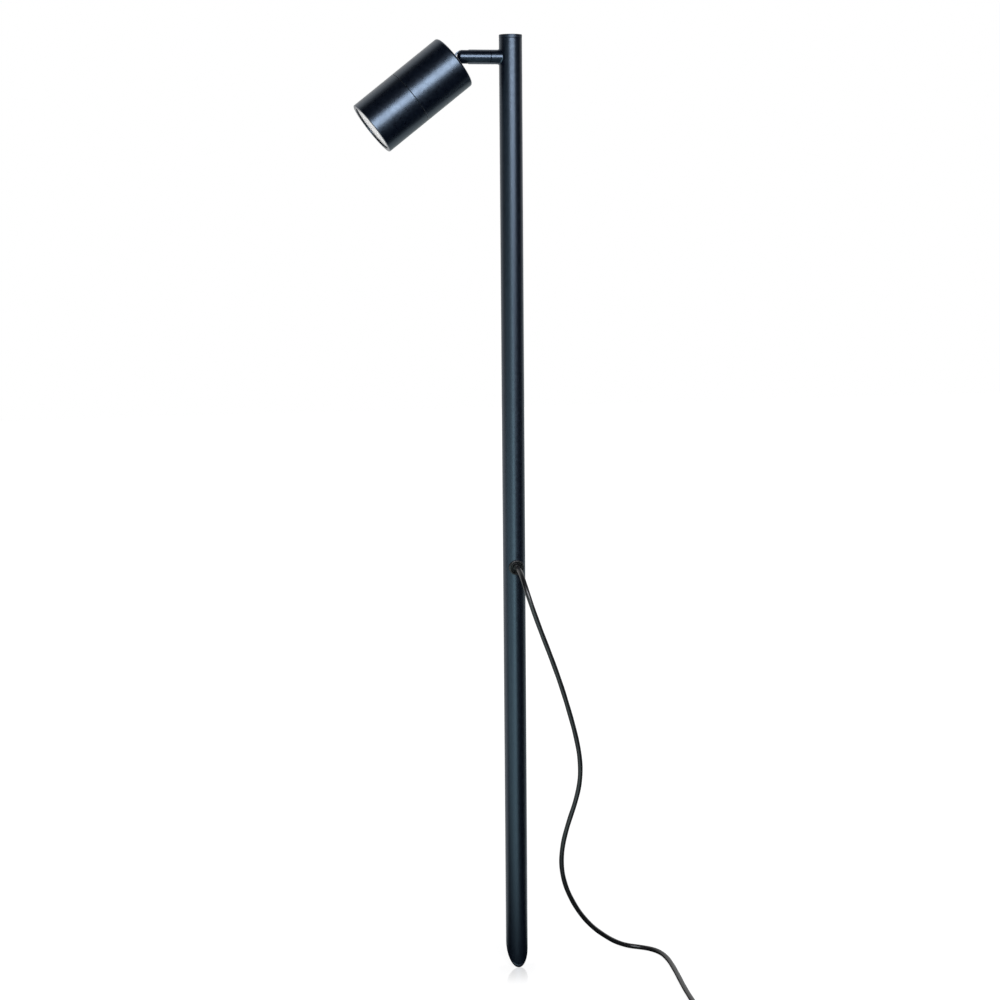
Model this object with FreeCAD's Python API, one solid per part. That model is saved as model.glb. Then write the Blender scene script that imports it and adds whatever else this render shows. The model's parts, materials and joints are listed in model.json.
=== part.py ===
import FreeCAD, Part
import math
import os
from FreeCAD import Placement, Rotation, Vector

# Garden spike spotlight: a slim tube pole that is pushed into the soil, with a short arm near its
# top, a cylindrical lamp head on a tilting knuckle, and a cord that leaves through a grommet half
# way up. Millimetres, +Z up. The origin is on the pole's axis, level with the lowest point of the
# tip. The arm points along -X and the grommet faces -Y.

# pole
TOTAL_HEIGHT = 1050.0
POLE_OD = 25.0
POLE_WALL = 1.5
TIP_CUT_ANGLE = 62.0            # slope of the oblique cut, in degrees from level
EDGE_BREAK = 0.3                # small chamfer along turned edges
OVERCUT = 1.0                   # how far a cut runs past the face that it opens

# cap in the top of the pole
CAP_HEAD = 3.8
CAP_SKIRT_LENGTH = 8.0
CAP_SKIRT_WALL = 1.6
CAP_SKIRT_GAP = 0.05

# arm, its boss on the pole and the swivel between them
ARM_DROP = 23.6                 # from the cap's top down to the arm's axis
ARM_OD = 15.5
BOSS_REACH = 22.5               # from the pole's axis to the boss's face
BOSS_FLARE = 1.8                # radius of the fillet where the boss meets the tube
BOSS_NECK_OD = 13.2
BOSS_NECK_SPARE = 2.0           # how far the neck reaches in past the spigot
SWIVEL_SEAM = 0.3
SPIGOT_OD = 11.0
SPIGOT_GAP = 0.2
SPIGOT_INNER_REACH = 10.6
ARM_REACH = 59.0                # from the pole's axis to the arm's end
ARM_BORE = 6.2
ARM_BEVEL = 3.0
ARM_RING_GROOVE = 0.6
ARM_RING_DEPTH = 0.5
SWIVEL_RING_REACH = 20.4
SWIVEL_RING_SECTION = 1.2
SWIVEL_GROOVE_DEPTH = 1.2
GRUB_REACH = 16.6
GRUB_OD = 4.0
GRUB_TIP_OD = 3.2
GRUB_SOCKET = 2.0
GRUB_SOCKET_DEPTH = 1.2
GRUB_SINK = 0.3
LOCK_GROOVE_WIDTH = 4.2
LOCK_GROOVE_DEPTH = 1.0

# tilting knuckle
PIVOT_SET_BACK = 4.0            # from the arm's end back to the pivot
TILT = 38.0                     # degrees that the head hangs below level at rest
TONGUE_THICKNESS = 5.0
TONGUE_EYE_OD = 12.6
TONGUE_NECK_WIDTH = 10.0
WASHER_THICKNESS = 1.0
WASHER_OD = 10.0
PIVOT_SCREW_OD = 4.0
PIVOT_SCREW_GAP = 0.08
PIVOT_HEAD_OD = 7.0
PIVOT_HEAD_HEIGHT = 2.3
PIVOT_HEAD_RECESS = 2.5
PIVOT_HEAD_ROUND = 0.9
PIVOT_SOCKET = 2.5
PIVOT_SOCKET_FLOOR = 0.8
PIVOT_BLIND_DEPTH = 2.6
FLANGE_OD = 17.0
FLANGE_THICKNESS = 1.8
FLANGE_STAND = 7.4              # from the pivot to the flange's outer face
STUD_OD = 10.0
STUD_BORE = 4.4
STUD_BORE_FLOOR = 0.6
STUD_PROUD = 0.6                # the stud's end past its locknut
LEAD_ENTRY_OD = 3.6
LEAD_ENTRY_SLOPE = 43.6         # of the slanting lead hole, from the head's axis
STUD_GASKET = 0.8
LOCKNUT_FLATS = 15.0
LOCKNUT_THICKNESS = 4.0
SLOT_END_GAP = 0.7
SPOT_FACE_GAP = 0.3

# lamp head, measured along its own axis from the pivot
HEAD_OD = 61.5
HEAD_STAND = 8.2                # from the pivot to the housing's back face
HOUSING_LENGTH = 61.5
HOUSING_BORE = 49.0
HOUSING_BACK = 4.0
HOUSING_BACK_FILLET = 2.5
HEAD_SEAM = 0.3
THREAD_LENGTH = 12.0
THREAD_GAP = 0.3
HOUSING_RING_SECTION = 1.6
HOUSING_RING_PLAY = 0.4
BEZEL_LENGTH = 53.2
BEZEL_WALL = 2.0
BEZEL_LIP = 1.0
APERTURE = 52.4
FRONT_BREAK = 0.5
GLASS_THICKNESS = 3.0
GLASS_GASKET = 0.6
GLASS_EDGE_GAP = 0.3
GASKET_SET_BACK = 0.2
CIRCLIP_THICKNESS = 1.2
CIRCLIP_DEPTH = 0.9
CIRCLIP_WIDTH = 2.6
CIRCLIP_PLAY = 0.1
CIRCLIP_GAP = 6.0

# lamp, holder and bracket
LAMP_OD = 50.0
LAMP_LENS_OD = 48.4
LAMP_LENS_THICKNESS = 2.4
LAMP_FRONT_GAP = 1.2
LAMP_LENGTH = 45.0
LAMP_NECK_OD = 19.0
LAMP_NECK_LENGTH = 12.0
LAMP_WALL = 1.4
LAMP_RIM_HEIGHT = 3.0
LAMP_WAIST = 1.0
LAMP_BULGE_OUT = 0.72           # where the bowl's curve passes, as shares of its width and height
LAMP_BULGE_UP = 0.42
PIN_PITCH = 5.3
PIN_OD = 1.5
PIN_LENGTH = 7.0
PIN_GAP = 0.1
PIN_SEAT = 3.0
PIN_END_GAP = 0.5
HOLDER_WIDTH = 24.0
HOLDER_DEPTH = 12.0
HOLDER_THICKNESS = 9.0
HOLDER_ROUND = 2.5
HOLDER_SCREW_SPACING = 18.0
BRACKET_THICKNESS = 1.2
BRACKET_SPAN = 42.0
BRACKET_WIDTH = 12.0
BRACKET_FOOT = 10.0
BRACKET_WINDOW_LENGTH = 13.0
BRACKET_WINDOW_WIDTH = 5.0
SMALL_SCREW_OD = 3.0
SMALL_SCREW_HEAD_OD = 5.5
SMALL_SCREW_HEAD = 1.8
SMALL_SCREW_SLOT_WIDTH = 0.8
SMALL_SCREW_SLOT_LENGTH = 3.2
SMALL_SCREW_SLOT_DEPTH = 0.8
SMALL_SCREW_SINK = 0.4
SMALL_SCREW_PROUD = 1.5
FOOT_SCREW_DEPTH = 3.0
LEAD_OD = 1.9
LEAD_SPACING = 2.2
LEAD_HOLDER_SPACING = 9.0
LEAD_HOLE_DEPTH = 2.0
LEAD_START_GAP = 1.8
LEAD_STRAIGHT = 14.0
LEAD_END_STRAIGHT = 12.0

# cord, its grommet and what is on its far end
GROMMET_HEIGHT = 469.0
CORD_OD = 5.6
GROMMET_FLANGE_OD = 16.4
GROMMET_FLANGE_STAND = 2.0
GROMMET_NECK_OD = 11.6
GROMMET_LIP_OD = 14.0
GROMMET_LIP_THICKNESS = 1.8
GROMMET_NOSE_OD = 9.6
GROMMET_NOSE_STAND = 3.5
GROMMET_MOAT = 1.5
GROMMET_MOAT_DEPTH = 1.2
GROMMET_CROWN = 0.7             # rise of the flange's domed top
GROMMET_SHOULDER = 1.0          # drop of its outer edge
GROMMET_MOUTH = 0.8             # rubber left round the cord at the nose's end
GROMMET_NOSE_ROUND = 1.0
INNER_BEND = 15.0
INNER_CORD_GAP = 0.8            # between the cord and the pole's bore
INNER_RISE = 60.0               # straight stretch above the grommet and below the boss
SWIVEL_CORD_GAP = 1.0           # from the cord's inner end to the arm's spigot
STRAIN_TIE_RISE = 21.0
STRAIN_TIE_WIDTH = 4.0
STRAIN_TIE_THICKNESS = 1.2
TIE_LOCK = 5.0
TIE_LOCK_DEPTH = 3.0
COIL_CENTRE = Vector(132.0, -217.0, 0.0)
COIL_OUTER_RADIUS = 33.6        # of the first half turn, at the cord's middle
COIL_PITCH = 6.1                # from one turn to the next, beside and above
COIL_TIE_THICKNESS = 0.6
COIL_TIE_WIDTH = 8.0
COIL_TIE_GAP = 0.05
CORE_OD = 2.2
CORE_LENGTH = 24.0
CORE_STRAIGHT = 7.0
CORE_SPREAD = 2.0
CORE_GAP = 0.3
FERRULE_SLEEVE_OD = 3.0
FERRULE_SLEEVE_LENGTH = 8.0
FERRULE_OVERLAP = 4.0
FERRULE_PIN_OD = 1.5
FERRULE_PIN_LENGTH = 8.0

# worked-out sizes
ARM_HEIGHT = TOTAL_HEIGHT - ARM_DROP
PIVOT_REACH = ARM_REACH - PIVOT_SET_BACK
POLE_R = POLE_OD / 2
POLE_BORE_R = POLE_R - POLE_WALL
TUBE_TOP = TOTAL_HEIGHT - CAP_HEAD
ARM_R = ARM_OD / 2
SPIGOT_R = SPIGOT_OD / 2
BOSS_BORE_R = SPIGOT_R + SPIGOT_GAP
CHEEK_INNER = TONGUE_THICKNESS / 2 + WASHER_THICKNESS
SLOT_REACH = PIVOT_REACH - FLANGE_OD / 2 - SLOT_END_GAP
HEAD_R = HEAD_OD / 2
SPOT_FLOOR = FLANGE_STAND + FLANGE_THICKNESS + STUD_GASKET
BACK_INSIDE = HEAD_STAND + HOUSING_BACK
SEAM_AT = HEAD_STAND + HOUSING_LENGTH
BEZEL_START = SEAM_AT + HEAD_SEAM
FRONT_AT = BEZEL_START + BEZEL_LENGTH
BEZEL_BORE_R = HEAD_R - BEZEL_WALL
THREAD_R = BEZEL_BORE_R - THREAD_GAP
GLASS_FRONT = FRONT_AT - BEZEL_LIP - GLASS_GASKET
GLASS_BACK = GLASS_FRONT - GLASS_THICKNESS
GLASS_R = BEZEL_BORE_R - GLASS_EDGE_GAP
LAMP_FRONT = GLASS_BACK - LAMP_FRONT_GAP
LAMP_BACK = LAMP_FRONT - LAMP_LENGTH
HOLDER_FRONT = LAMP_BACK - PIN_GAP
HOLDER_BACK = HOLDER_FRONT - HOLDER_THICKNESS
HOLDER_SCREW_SEAT = HOLDER_FRONT - SMALL_SCREW_HEAD - SMALL_SCREW_SINK
BRACKET_BACK = HOLDER_BACK - BRACKET_THICKNESS
CORD_R = CORD_OD / 2
COIL_FLOOR = CORD_R + COIL_TIE_THICKNESS + COIL_TIE_GAP
NOSE_REACH = POLE_R + GROMMET_NOSE_STAND
INNER_CORD_PLACE = POLE_BORE_R - CORD_R - INNER_CORD_GAP

X_AXIS = Vector(1, 0, 0)
Y_AXIS = Vector(0, 1, 0)
Z_AXIS = Vector(0, 0, 1)

# The free cord's route from the grommet's nose down to the coil, chosen by hand
CORD_ROUTE = [
    (0.0, -NOSE_REACH, GROMMET_HEIGHT),
    (0.0, -27.0, GROMMET_HEIGHT),
    (0.5, -38.0, 465.5),
    (1.8, -47.5, 457.5),
    (4.5, -54.0, 445.5),
    (9.5, -57.0, 429.0),
    (18.0, -57.0, 405.0),
    (29.5, -56.0, 375.0),
    (41.0, -54.0, 343.0),
    (51.0, -51.0, 311.0),
    (59.5, -48.0, 281.0),
    (65.0, -45.5, 253.0),
    (65.5, -43.0, 227.0),
    (60.5, -40.5, 202.0),
    (52.5, -38.0, 177.0),
    (46.5, -35.0, 151.0),
    (45.5, -31.5, 125.0),
    (51.0, -28.0, 100.0),
    (61.5, -22.5, 77.0),
    (74.5, -14.0, 56.0),
    (89.5, -6.0, 38.0),
    (106.0, 3.0, 23.0),
    (120.8, 9.6, 11.8),
    (135.8, 12.8, 4.9),
    (150.6, 10.2, CORD_R),
    (162.0, 2.0, CORD_R),
    (169.5, -10.5, CORD_R),
    (172.3, -27.0, CORD_R),
    (172.3, -48.0, CORD_R),
    (170.3, -79.0, CORD_R),
    (167.6, -112.0, CORD_R),
    (166.1, -145.0, CORD_R),
    (COIL_CENTRE.x + COIL_OUTER_RADIUS, -179.0, COIL_FLOOR),
    (COIL_CENTRE.x + COIL_OUTER_RADIUS, COIL_CENTRE.y + CORD_OD, COIL_FLOOR),
]
BEND_SHARE = 0.45


def turned(profile):
    """Solid of revolution about Z from a closed outline of (radius, height) points."""
    points = [Vector(r, 0, z) for r, z in profile]
    face = Part.Face(Part.makePolygon(points + points[:1]))
    return face.revolve(Vector(), Z_AXIS, 360)


def rod(radius, start, end, x=0.0, y=0.0):
    """Cylinder along Z from start to end."""
    return Part.makeCylinder(radius, end - start, Vector(x, y, start))


def tube(outer, inner, start, end):
    """Ring along Z from start to end."""
    return rod(outer, start, end).cut(rod(inner, start - OVERCUT, end + OVERCUT))


def cross_rod(radius, y_start, y_end, x=0.0, z=0.0):
    """Cylinder along Y from y_start to y_end."""
    return Part.makeCylinder(radius, y_end - y_start, Vector(x, y_start, z), Y_AXIS)


def block(x0, x1, y0, y1, z0, z1):
    """Box between two corners."""
    return Part.makeBox(x1 - x0, y1 - y0, z1 - z0, Vector(x0, y0, z0))


def hexagon(flats, start, end):
    """Hexagonal bar along Z."""
    corner = flats / math.sqrt(3)
    points = [Vector(corner * math.cos(math.radians(a)), corner * math.sin(math.radians(a)), start)
              for a in range(0, 361, 60)]
    return Part.Face(Part.makePolygon(points)).extrude(Vector(0, 0, end - start))


def torus_ring(middle_radius, section, height):
    """O-ring lying in the plane at this height."""
    return Part.makeTorus(middle_radius, section / 2, Vector(0, 0, height), Z_AXIS)


def along_arm(shape):
    """Turn a shape built along Z so that it lies along the arm, measured from the pole's axis."""
    moved = shape.copy()
    moved.Placement = Placement(Vector(0, 0, ARM_HEIGHT), Rotation(Y_AXIS, -90))
    return moved


def along_grommet(shape):
    """Turn a shape built along Z so that it points along -Y at the grommet's height."""
    moved = shape.copy()
    moved.Placement = Placement(Vector(0, 0, GROMMET_HEIGHT), Rotation(X_AXIS, 90))
    return moved


def along_head(shape):
    """Turn a shape built along Z so that it lies along the head, measured from the pivot."""
    moved = shape.copy()
    moved.Placement = Placement(Vector(-PIVOT_REACH, 0, ARM_HEIGHT), Rotation(Y_AXIS, -90 - TILT))
    return moved


def group(shapes):
    return Part.makeCompound(shapes)


def corner_radius(before, corner, after, share):
    """Radius and half turn of the arc that takes this share of the shorter run."""
    run_in = corner - before
    run_out = after - corner
    half_turn = run_in.getAngle(run_out) / 2
    shorter = min(run_in.Length, run_out.Length)
    return share * shorter / math.tan(half_turn), half_turn


def smooth_path(points, radius=None):
    """Straight runs joined by tangent arcs, as one wire, with the list of the arcs' radii."""
    edges = []
    radii = []
    start = points[0]
    for before, corner, after in zip(points, points[1:], points[2:]):
        arc_radius, half_turn = corner_radius(before, corner, after, BEND_SHARE)
        if radius:
            arc_radius = radius
        reach = arc_radius * math.tan(half_turn)
        back = (before - corner).normalize()
        on = (after - corner).normalize()
        first = corner + back * reach
        last = corner + on * reach
        inward = (back + on).normalize()
        middle = corner + inward * (arc_radius / math.cos(half_turn) - arc_radius)
        edges.append(Part.LineSegment(start, first).toShape())
        edges.append(Part.Arc(first, middle, last).toShape())
        radii.append(arc_radius)
        start = last
    edges.append(Part.LineSegment(start, points[-1]).toShape())
    return Part.Wire(edges), radii


def swept_cord(path, radius):
    """Round section carried along a path."""
    start = path.Edges[0]
    direction = start.tangentAt(start.FirstParameter)
    place = start.valueAt(start.FirstParameter)
    section = Part.Wire(Part.makeCircle(radius, place, direction))
    return path.makePipeShell([section], True, False)


def report_sweep(name, solid, path, radius):
    expected = math.pi * radius * radius * path.Length
    print(name, "length", round(path.Length, 1), "volume share", round(solid.Volume / expected, 4))


# ---- pole -------------------------------------------------------------------------------------

def tip_waste():
    """What the oblique cut takes away: the cut starts at the front of the tube and climbs back."""
    rise = POLE_OD * math.tan(math.radians(TIP_CUT_ANGLE))
    side = POLE_OD
    corners = [Vector(-side, -POLE_R, 0), Vector(-side, POLE_R, rise),
               Vector(-side, 2 * POLE_R, 2 * rise), Vector(-side, 2 * POLE_R, -OVERCUT),
               Vector(-side, -POLE_R, -OVERCUT)]
    return Part.Face(Part.makePolygon(corners + corners[:1])).extrude(Vector(2 * side, 0, 0))


def make_pole_tube():
    pole = turned([(POLE_BORE_R, 0), (POLE_R, 0), (POLE_R, TUBE_TOP - EDGE_BREAK),
                   (POLE_R - EDGE_BREAK, TUBE_TOP), (POLE_BORE_R, TUBE_TOP)])
    pole = pole.cut(tip_waste())
    pole = pole.cut(along_arm(rod(BOSS_NECK_OD / 2, 0, POLE_OD)))
    return pole.cut(along_grommet(rod(GROMMET_NECK_OD / 2, 0, POLE_OD)))


def make_top_cap():
    """Flat plug: a head as wide as the tube and a skirt that slides into its bore."""
    skirt_r = POLE_BORE_R - CAP_SKIRT_GAP
    skirt_inner_r = skirt_r - CAP_SKIRT_WALL
    bottom = TUBE_TOP - CAP_SKIRT_LENGTH
    return turned([(0, TUBE_TOP), (skirt_inner_r, TUBE_TOP), (skirt_inner_r, bottom),
                   (skirt_r, bottom), (skirt_r, TUBE_TOP), (POLE_R - EDGE_BREAK, TUBE_TOP),
                   (POLE_R, TUBE_TOP + EDGE_BREAK), (POLE_R, TOTAL_HEIGHT - EDGE_BREAK),
                   (POLE_R - EDGE_BREAK, TOTAL_HEIGHT), (0, TOTAL_HEIGHT)])


def make_arm_boss():
    """Turned bush, welded into the pole's wall, with a fillet where it meets the tube."""
    low = ARM_HEIGHT - POLE_OD
    high = ARM_HEIGHT + POLE_OD
    bush = turned([(0, 0), (ARM_R, 0), (ARM_R, BOSS_REACH - EDGE_BREAK),
                   (ARM_R - EDGE_BREAK, BOSS_REACH), (0, BOSS_REACH)])
    joined = rod(POLE_R, low, high).fuse(along_arm(bush))
    meeting = [e for e in joined.Edges if e.BoundBox.XMax < 0 and e.BoundBox.YLength > ARM_R
               and e.BoundBox.XLength > EDGE_BREAK]
    body = joined.makeFillet(BOSS_FLARE, meeting).cut(rod(POLE_R, low - OVERCUT, high + OVERCUT))
    neck = along_arm(rod(BOSS_NECK_OD / 2, SPIGOT_INNER_REACH - BOSS_NECK_SPARE,
                         POLE_R + BOSS_FLARE))
    bore = along_arm(rod(BOSS_BORE_R, 0, BOSS_REACH + OVERCUT))
    grub_hole = Part.makeCylinder(GRUB_OD / 2, ARM_R, Vector(-GRUB_REACH, 0, ARM_HEIGHT), -Z_AXIS)
    return body.fuse(neck).cut(bore).cut(grub_hole).removeSplitter()


def make_swivel_grub_screw():
    """Socket screw under the boss. Its tip runs in the spigot's groove and holds the arm in."""
    tip_r = SPIGOT_R - LOCK_GROOVE_DEPTH + SPIGOT_GAP
    foot = ARM_R - GRUB_SINK
    body = rod(GRUB_OD / 2, BOSS_BORE_R, foot)
    tip = rod(GRUB_TIP_OD / 2, tip_r, foot)
    socket = hexagon(GRUB_SOCKET, foot - GRUB_SOCKET_DEPTH, foot + OVERCUT)
    screw = body.fuse(tip).cut(socket).removeSplitter()
    screw.Placement = Placement(Vector(-GRUB_REACH, 0, ARM_HEIGHT), Rotation(X_AXIS, 180))
    return screw


# ---- arm --------------------------------------------------------------------------------------

def make_arm_rod():
    shoulder = BOSS_REACH + SWIVEL_SEAM
    groove_end = ARM_REACH - ARM_BEVEL
    groove_start = groove_end - ARM_RING_GROOVE
    spigot_wall = SPIGOT_R - SWIVEL_GROOVE_DEPTH
    ring_start = SWIVEL_RING_REACH - SWIVEL_RING_SECTION / 2 - SPIGOT_GAP
    ring_end = SWIVEL_RING_REACH + SWIVEL_RING_SECTION / 2 + SPIGOT_GAP
    lock_start = GRUB_REACH - LOCK_GROOVE_WIDTH / 2
    lock_end = GRUB_REACH + LOCK_GROOVE_WIDTH / 2
    body = turned([
        (0, SPIGOT_INNER_REACH), (SPIGOT_R, SPIGOT_INNER_REACH),
        (SPIGOT_R, lock_start), (SPIGOT_R - LOCK_GROOVE_DEPTH, lock_start),
        (SPIGOT_R - LOCK_GROOVE_DEPTH, lock_end), (SPIGOT_R, lock_end),
        (SPIGOT_R, ring_start), (spigot_wall, ring_start), (spigot_wall, ring_end),
        (SPIGOT_R, ring_end), (SPIGOT_R, shoulder), (ARM_R - EDGE_BREAK, shoulder),
        (ARM_R, shoulder + EDGE_BREAK), (ARM_R, groove_start),
        (ARM_R - ARM_RING_DEPTH, groove_start), (ARM_R - ARM_RING_DEPTH, groove_end),
        (ARM_R, groove_end), (ARM_R - ARM_BEVEL, ARM_REACH), (0, ARM_REACH)])
    bore = rod(ARM_BORE / 2, SPIGOT_INNER_REACH - OVERCUT, SLOT_REACH + OVERCUT)
    slot = block(-ARM_OD, ARM_OD, -CHEEK_INNER, CHEEK_INNER, SLOT_REACH, ARM_REACH + OVERCUT)
    recess_floor = ARM_R - PIVOT_HEAD_RECESS
    pivot_hole = cross_rod(PIVOT_SCREW_OD / 2, -CHEEK_INNER - PIVOT_BLIND_DEPTH, ARM_R,
                           z=PIVOT_REACH)
    recess = cross_rod(PIVOT_HEAD_OD / 2 + SPIGOT_GAP, recess_floor, ARM_R + OVERCUT,
                       z=PIVOT_REACH)
    return along_arm(body.cut(bore).cut(slot).cut(pivot_hole).cut(recess))


def make_swivel_oring():
    middle = SPIGOT_R - SWIVEL_GROOVE_DEPTH + SWIVEL_RING_SECTION / 2
    return along_arm(torus_ring(middle, SWIVEL_RING_SECTION, SWIVEL_RING_REACH))


def make_pivot_screw():
    """Button-head screw across the knuckle, put in from the back and blind at the front."""
    seat = ARM_R - PIVOT_HEAD_RECESS
    shank = cross_rod(PIVOT_SCREW_OD / 2, -CHEEK_INNER - PIVOT_BLIND_DEPTH + SPIGOT_GAP, seat)
    head = cross_rod(PIVOT_HEAD_OD / 2, seat, seat + PIVOT_HEAD_HEIGHT)
    rim = max(head.Edges, key=lambda e: e.BoundBox.YMin)
    head = head.makeFillet(PIVOT_HEAD_ROUND, [rim])
    socket = hexagon(PIVOT_SOCKET, seat + PIVOT_SOCKET_FLOOR, seat + PIVOT_HEAD_HEIGHT + OVERCUT)
    socket.Placement = Placement(Vector(), Rotation(X_AXIS, -90))
    screw = shank.fuse(head).cut(socket).removeSplitter()
    screw.Placement = Placement(Vector(-PIVOT_REACH, 0, ARM_HEIGHT), Rotation())
    return screw


def make_knuckle_washers():
    bore = PIVOT_SCREW_OD / 2
    washers = []
    for start in (-CHEEK_INNER, TONGUE_THICKNESS / 2):
        end = start + WASHER_THICKNESS
        hole = cross_rod(bore, start - OVERCUT, end + OVERCUT)
        washer = cross_rod(WASHER_OD / 2, start, end).cut(hole)
        washer.translate(Vector(-PIVOT_REACH, 0, ARM_HEIGHT))
        washers.append(washer)
    return group(washers)


def make_arm_cable():
    return along_arm(rod(CORD_R, SPIGOT_INNER_REACH, SLOT_REACH - SWIVEL_CORD_GAP))


# ---- head -------------------------------------------------------------------------------------

def make_tilt_tongue():
    """Flat eye and neck that sit in the arm's slot, with a flange and a hollow threaded stud."""
    half = TONGUE_THICKNESS / 2
    stud_end = BACK_INSIDE + LOCKNUT_THICKNESS + STUD_PROUD
    slope = math.radians(LEAD_ENTRY_SLOPE)
    eye = cross_rod(TONGUE_EYE_OD / 2, -half, half)
    neck = block(-TONGUE_NECK_WIDTH / 2, TONGUE_NECK_WIDTH / 2, -half, half, 0, FLANGE_STAND)
    flange = rod(FLANGE_OD / 2, FLANGE_STAND, FLANGE_STAND + FLANGE_THICKNESS)
    stud = rod(STUD_OD / 2, FLANGE_STAND, stud_end)
    bore = rod(STUD_BORE / 2, FLANGE_STAND + STUD_BORE_FLOOR, stud_end + OVERCUT)
    pivot_hole = cross_rod(PIVOT_SCREW_OD / 2 + PIVOT_SCREW_GAP, -half - OVERCUT, half + OVERCUT)
    entry_top = Vector(0, 0, FLANGE_STAND + FLANGE_THICKNESS)
    entry = Part.makeCylinder(LEAD_ENTRY_OD / 2, TONGUE_EYE_OD, entry_top,
                              Vector(-math.sin(slope), 0, -math.cos(slope)))
    body = eye.fuse([neck, flange, stud]).removeSplitter()
    return along_head(body.cut(bore).cut(pivot_hole).cut(entry))


def make_stud_gasket():
    start = FLANGE_STAND + FLANGE_THICKNESS
    return along_head(tube(FLANGE_OD / 2, STUD_OD / 2, start, start + STUD_GASKET))


def make_stud_locknut():
    nut = hexagon(LOCKNUT_FLATS, BACK_INSIDE, BACK_INSIDE + LOCKNUT_THICKNESS)
    hole = rod(STUD_OD / 2, BACK_INSIDE - OVERCUT, BACK_INSIDE + LOCKNUT_THICKNESS + OVERCUT)
    return along_head(nut.cut(hole))


def make_rear_housing():
    """Turned cup with a threaded spigot at its open end and a spot face for the stud's flange."""
    bore_r = HOUSING_BORE / 2
    ring_floor = THREAD_R - HOUSING_RING_SECTION
    ring_end = SEAM_AT + HOUSING_RING_SECTION + HOUSING_RING_PLAY
    outline = [Vector(0, 0, HEAD_STAND), Vector(HEAD_R, 0, HEAD_STAND),
               Vector(HEAD_R, 0, SEAM_AT - EDGE_BREAK), Vector(HEAD_R - EDGE_BREAK, 0, SEAM_AT),
               Vector(ring_floor, 0, SEAM_AT), Vector(ring_floor, 0, ring_end),
               Vector(THREAD_R, 0, ring_end), Vector(THREAD_R, 0, SEAM_AT + THREAD_LENGTH),
               Vector(bore_r, 0, SEAM_AT + THREAD_LENGTH), Vector(bore_r, 0, BACK_INSIDE),
               Vector(0, 0, BACK_INSIDE)]
    wire = Part.makePolygon(outline + outline[:1])
    body = Part.Face(wire).revolve(Vector(), Z_AXIS, 360)
    back_rim = [e for e in body.Edges if abs(e.BoundBox.ZMax - HEAD_STAND) < 0.01
                and e.BoundBox.XMax > HEAD_R - 0.1 and e.BoundBox.ZLength < 0.01]
    body = body.makeFillet(HOUSING_BACK_FILLET, back_rim)
    spot_face = rod(FLANGE_OD / 2 + SPOT_FACE_GAP, HEAD_STAND - OVERCUT, SPOT_FLOOR)
    stud_hole = rod(STUD_OD / 2, HEAD_STAND, BACK_INSIDE + OVERCUT)
    body = body.cut(spot_face).cut(stud_hole)
    for y in foot_screw_places():
        body = body.cut(rod(SMALL_SCREW_OD / 2, BACK_INSIDE - FOOT_SCREW_DEPTH,
                            BACK_INSIDE + OVERCUT, y=y))
    return along_head(body)


def foot_screw_places():
    place = BRACKET_SPAN / 2 - BRACKET_FOOT / 2 - BRACKET_THICKNESS / 2
    return (-place, place)


def make_housing_oring():
    middle = THREAD_R - HOUSING_RING_SECTION / 2
    return along_head(torus_ring(middle, HOUSING_RING_SECTION, SEAM_AT + HOUSING_RING_SECTION / 2))


def make_holder_bracket():
    """Bent strip: two feet on the back wall, two legs and a bridge that carries the holder."""
    half_span = BRACKET_SPAN / 2
    half_width = BRACKET_WIDTH / 2
    bridge = block(-half_width, half_width, -half_span, half_span, BRACKET_BACK, HOLDER_BACK)
    pieces = []
    for side in (-1, 1):
        outer = side * half_span
        inner = side * (half_span - BRACKET_THICKNESS)
        leg = block(-half_width, half_width, min(outer, inner), max(outer, inner),
                    BACK_INSIDE, HOLDER_BACK)
        foot_end = side * (half_span - BRACKET_FOOT)
        foot = block(-half_width, half_width, min(outer, foot_end), max(outer, foot_end),
                     BACK_INSIDE, BACK_INSIDE + BRACKET_THICKNESS)
        pieces += [leg, foot]
    body = bridge.fuse(pieces).removeSplitter()
    window = block(-BRACKET_WINDOW_WIDTH / 2, BRACKET_WINDOW_WIDTH / 2,
                   -BRACKET_WINDOW_LENGTH / 2, BRACKET_WINDOW_LENGTH / 2,
                   BRACKET_BACK - OVERCUT, HOLDER_BACK + OVERCUT)
    body = body.cut(window)
    screw_r = SMALL_SCREW_OD / 2
    foot_top = BACK_INSIDE + BRACKET_THICKNESS
    for y in foot_screw_places():
        body = body.cut(rod(screw_r, BACK_INSIDE - OVERCUT, foot_top + OVERCUT, y=y))
    for side in (-1, 1):
        y = side * HOLDER_SCREW_SPACING / 2
        body = body.cut(rod(screw_r, BRACKET_BACK - OVERCUT, HOLDER_BACK + OVERCUT, y=y))
    return along_head(body)


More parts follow.
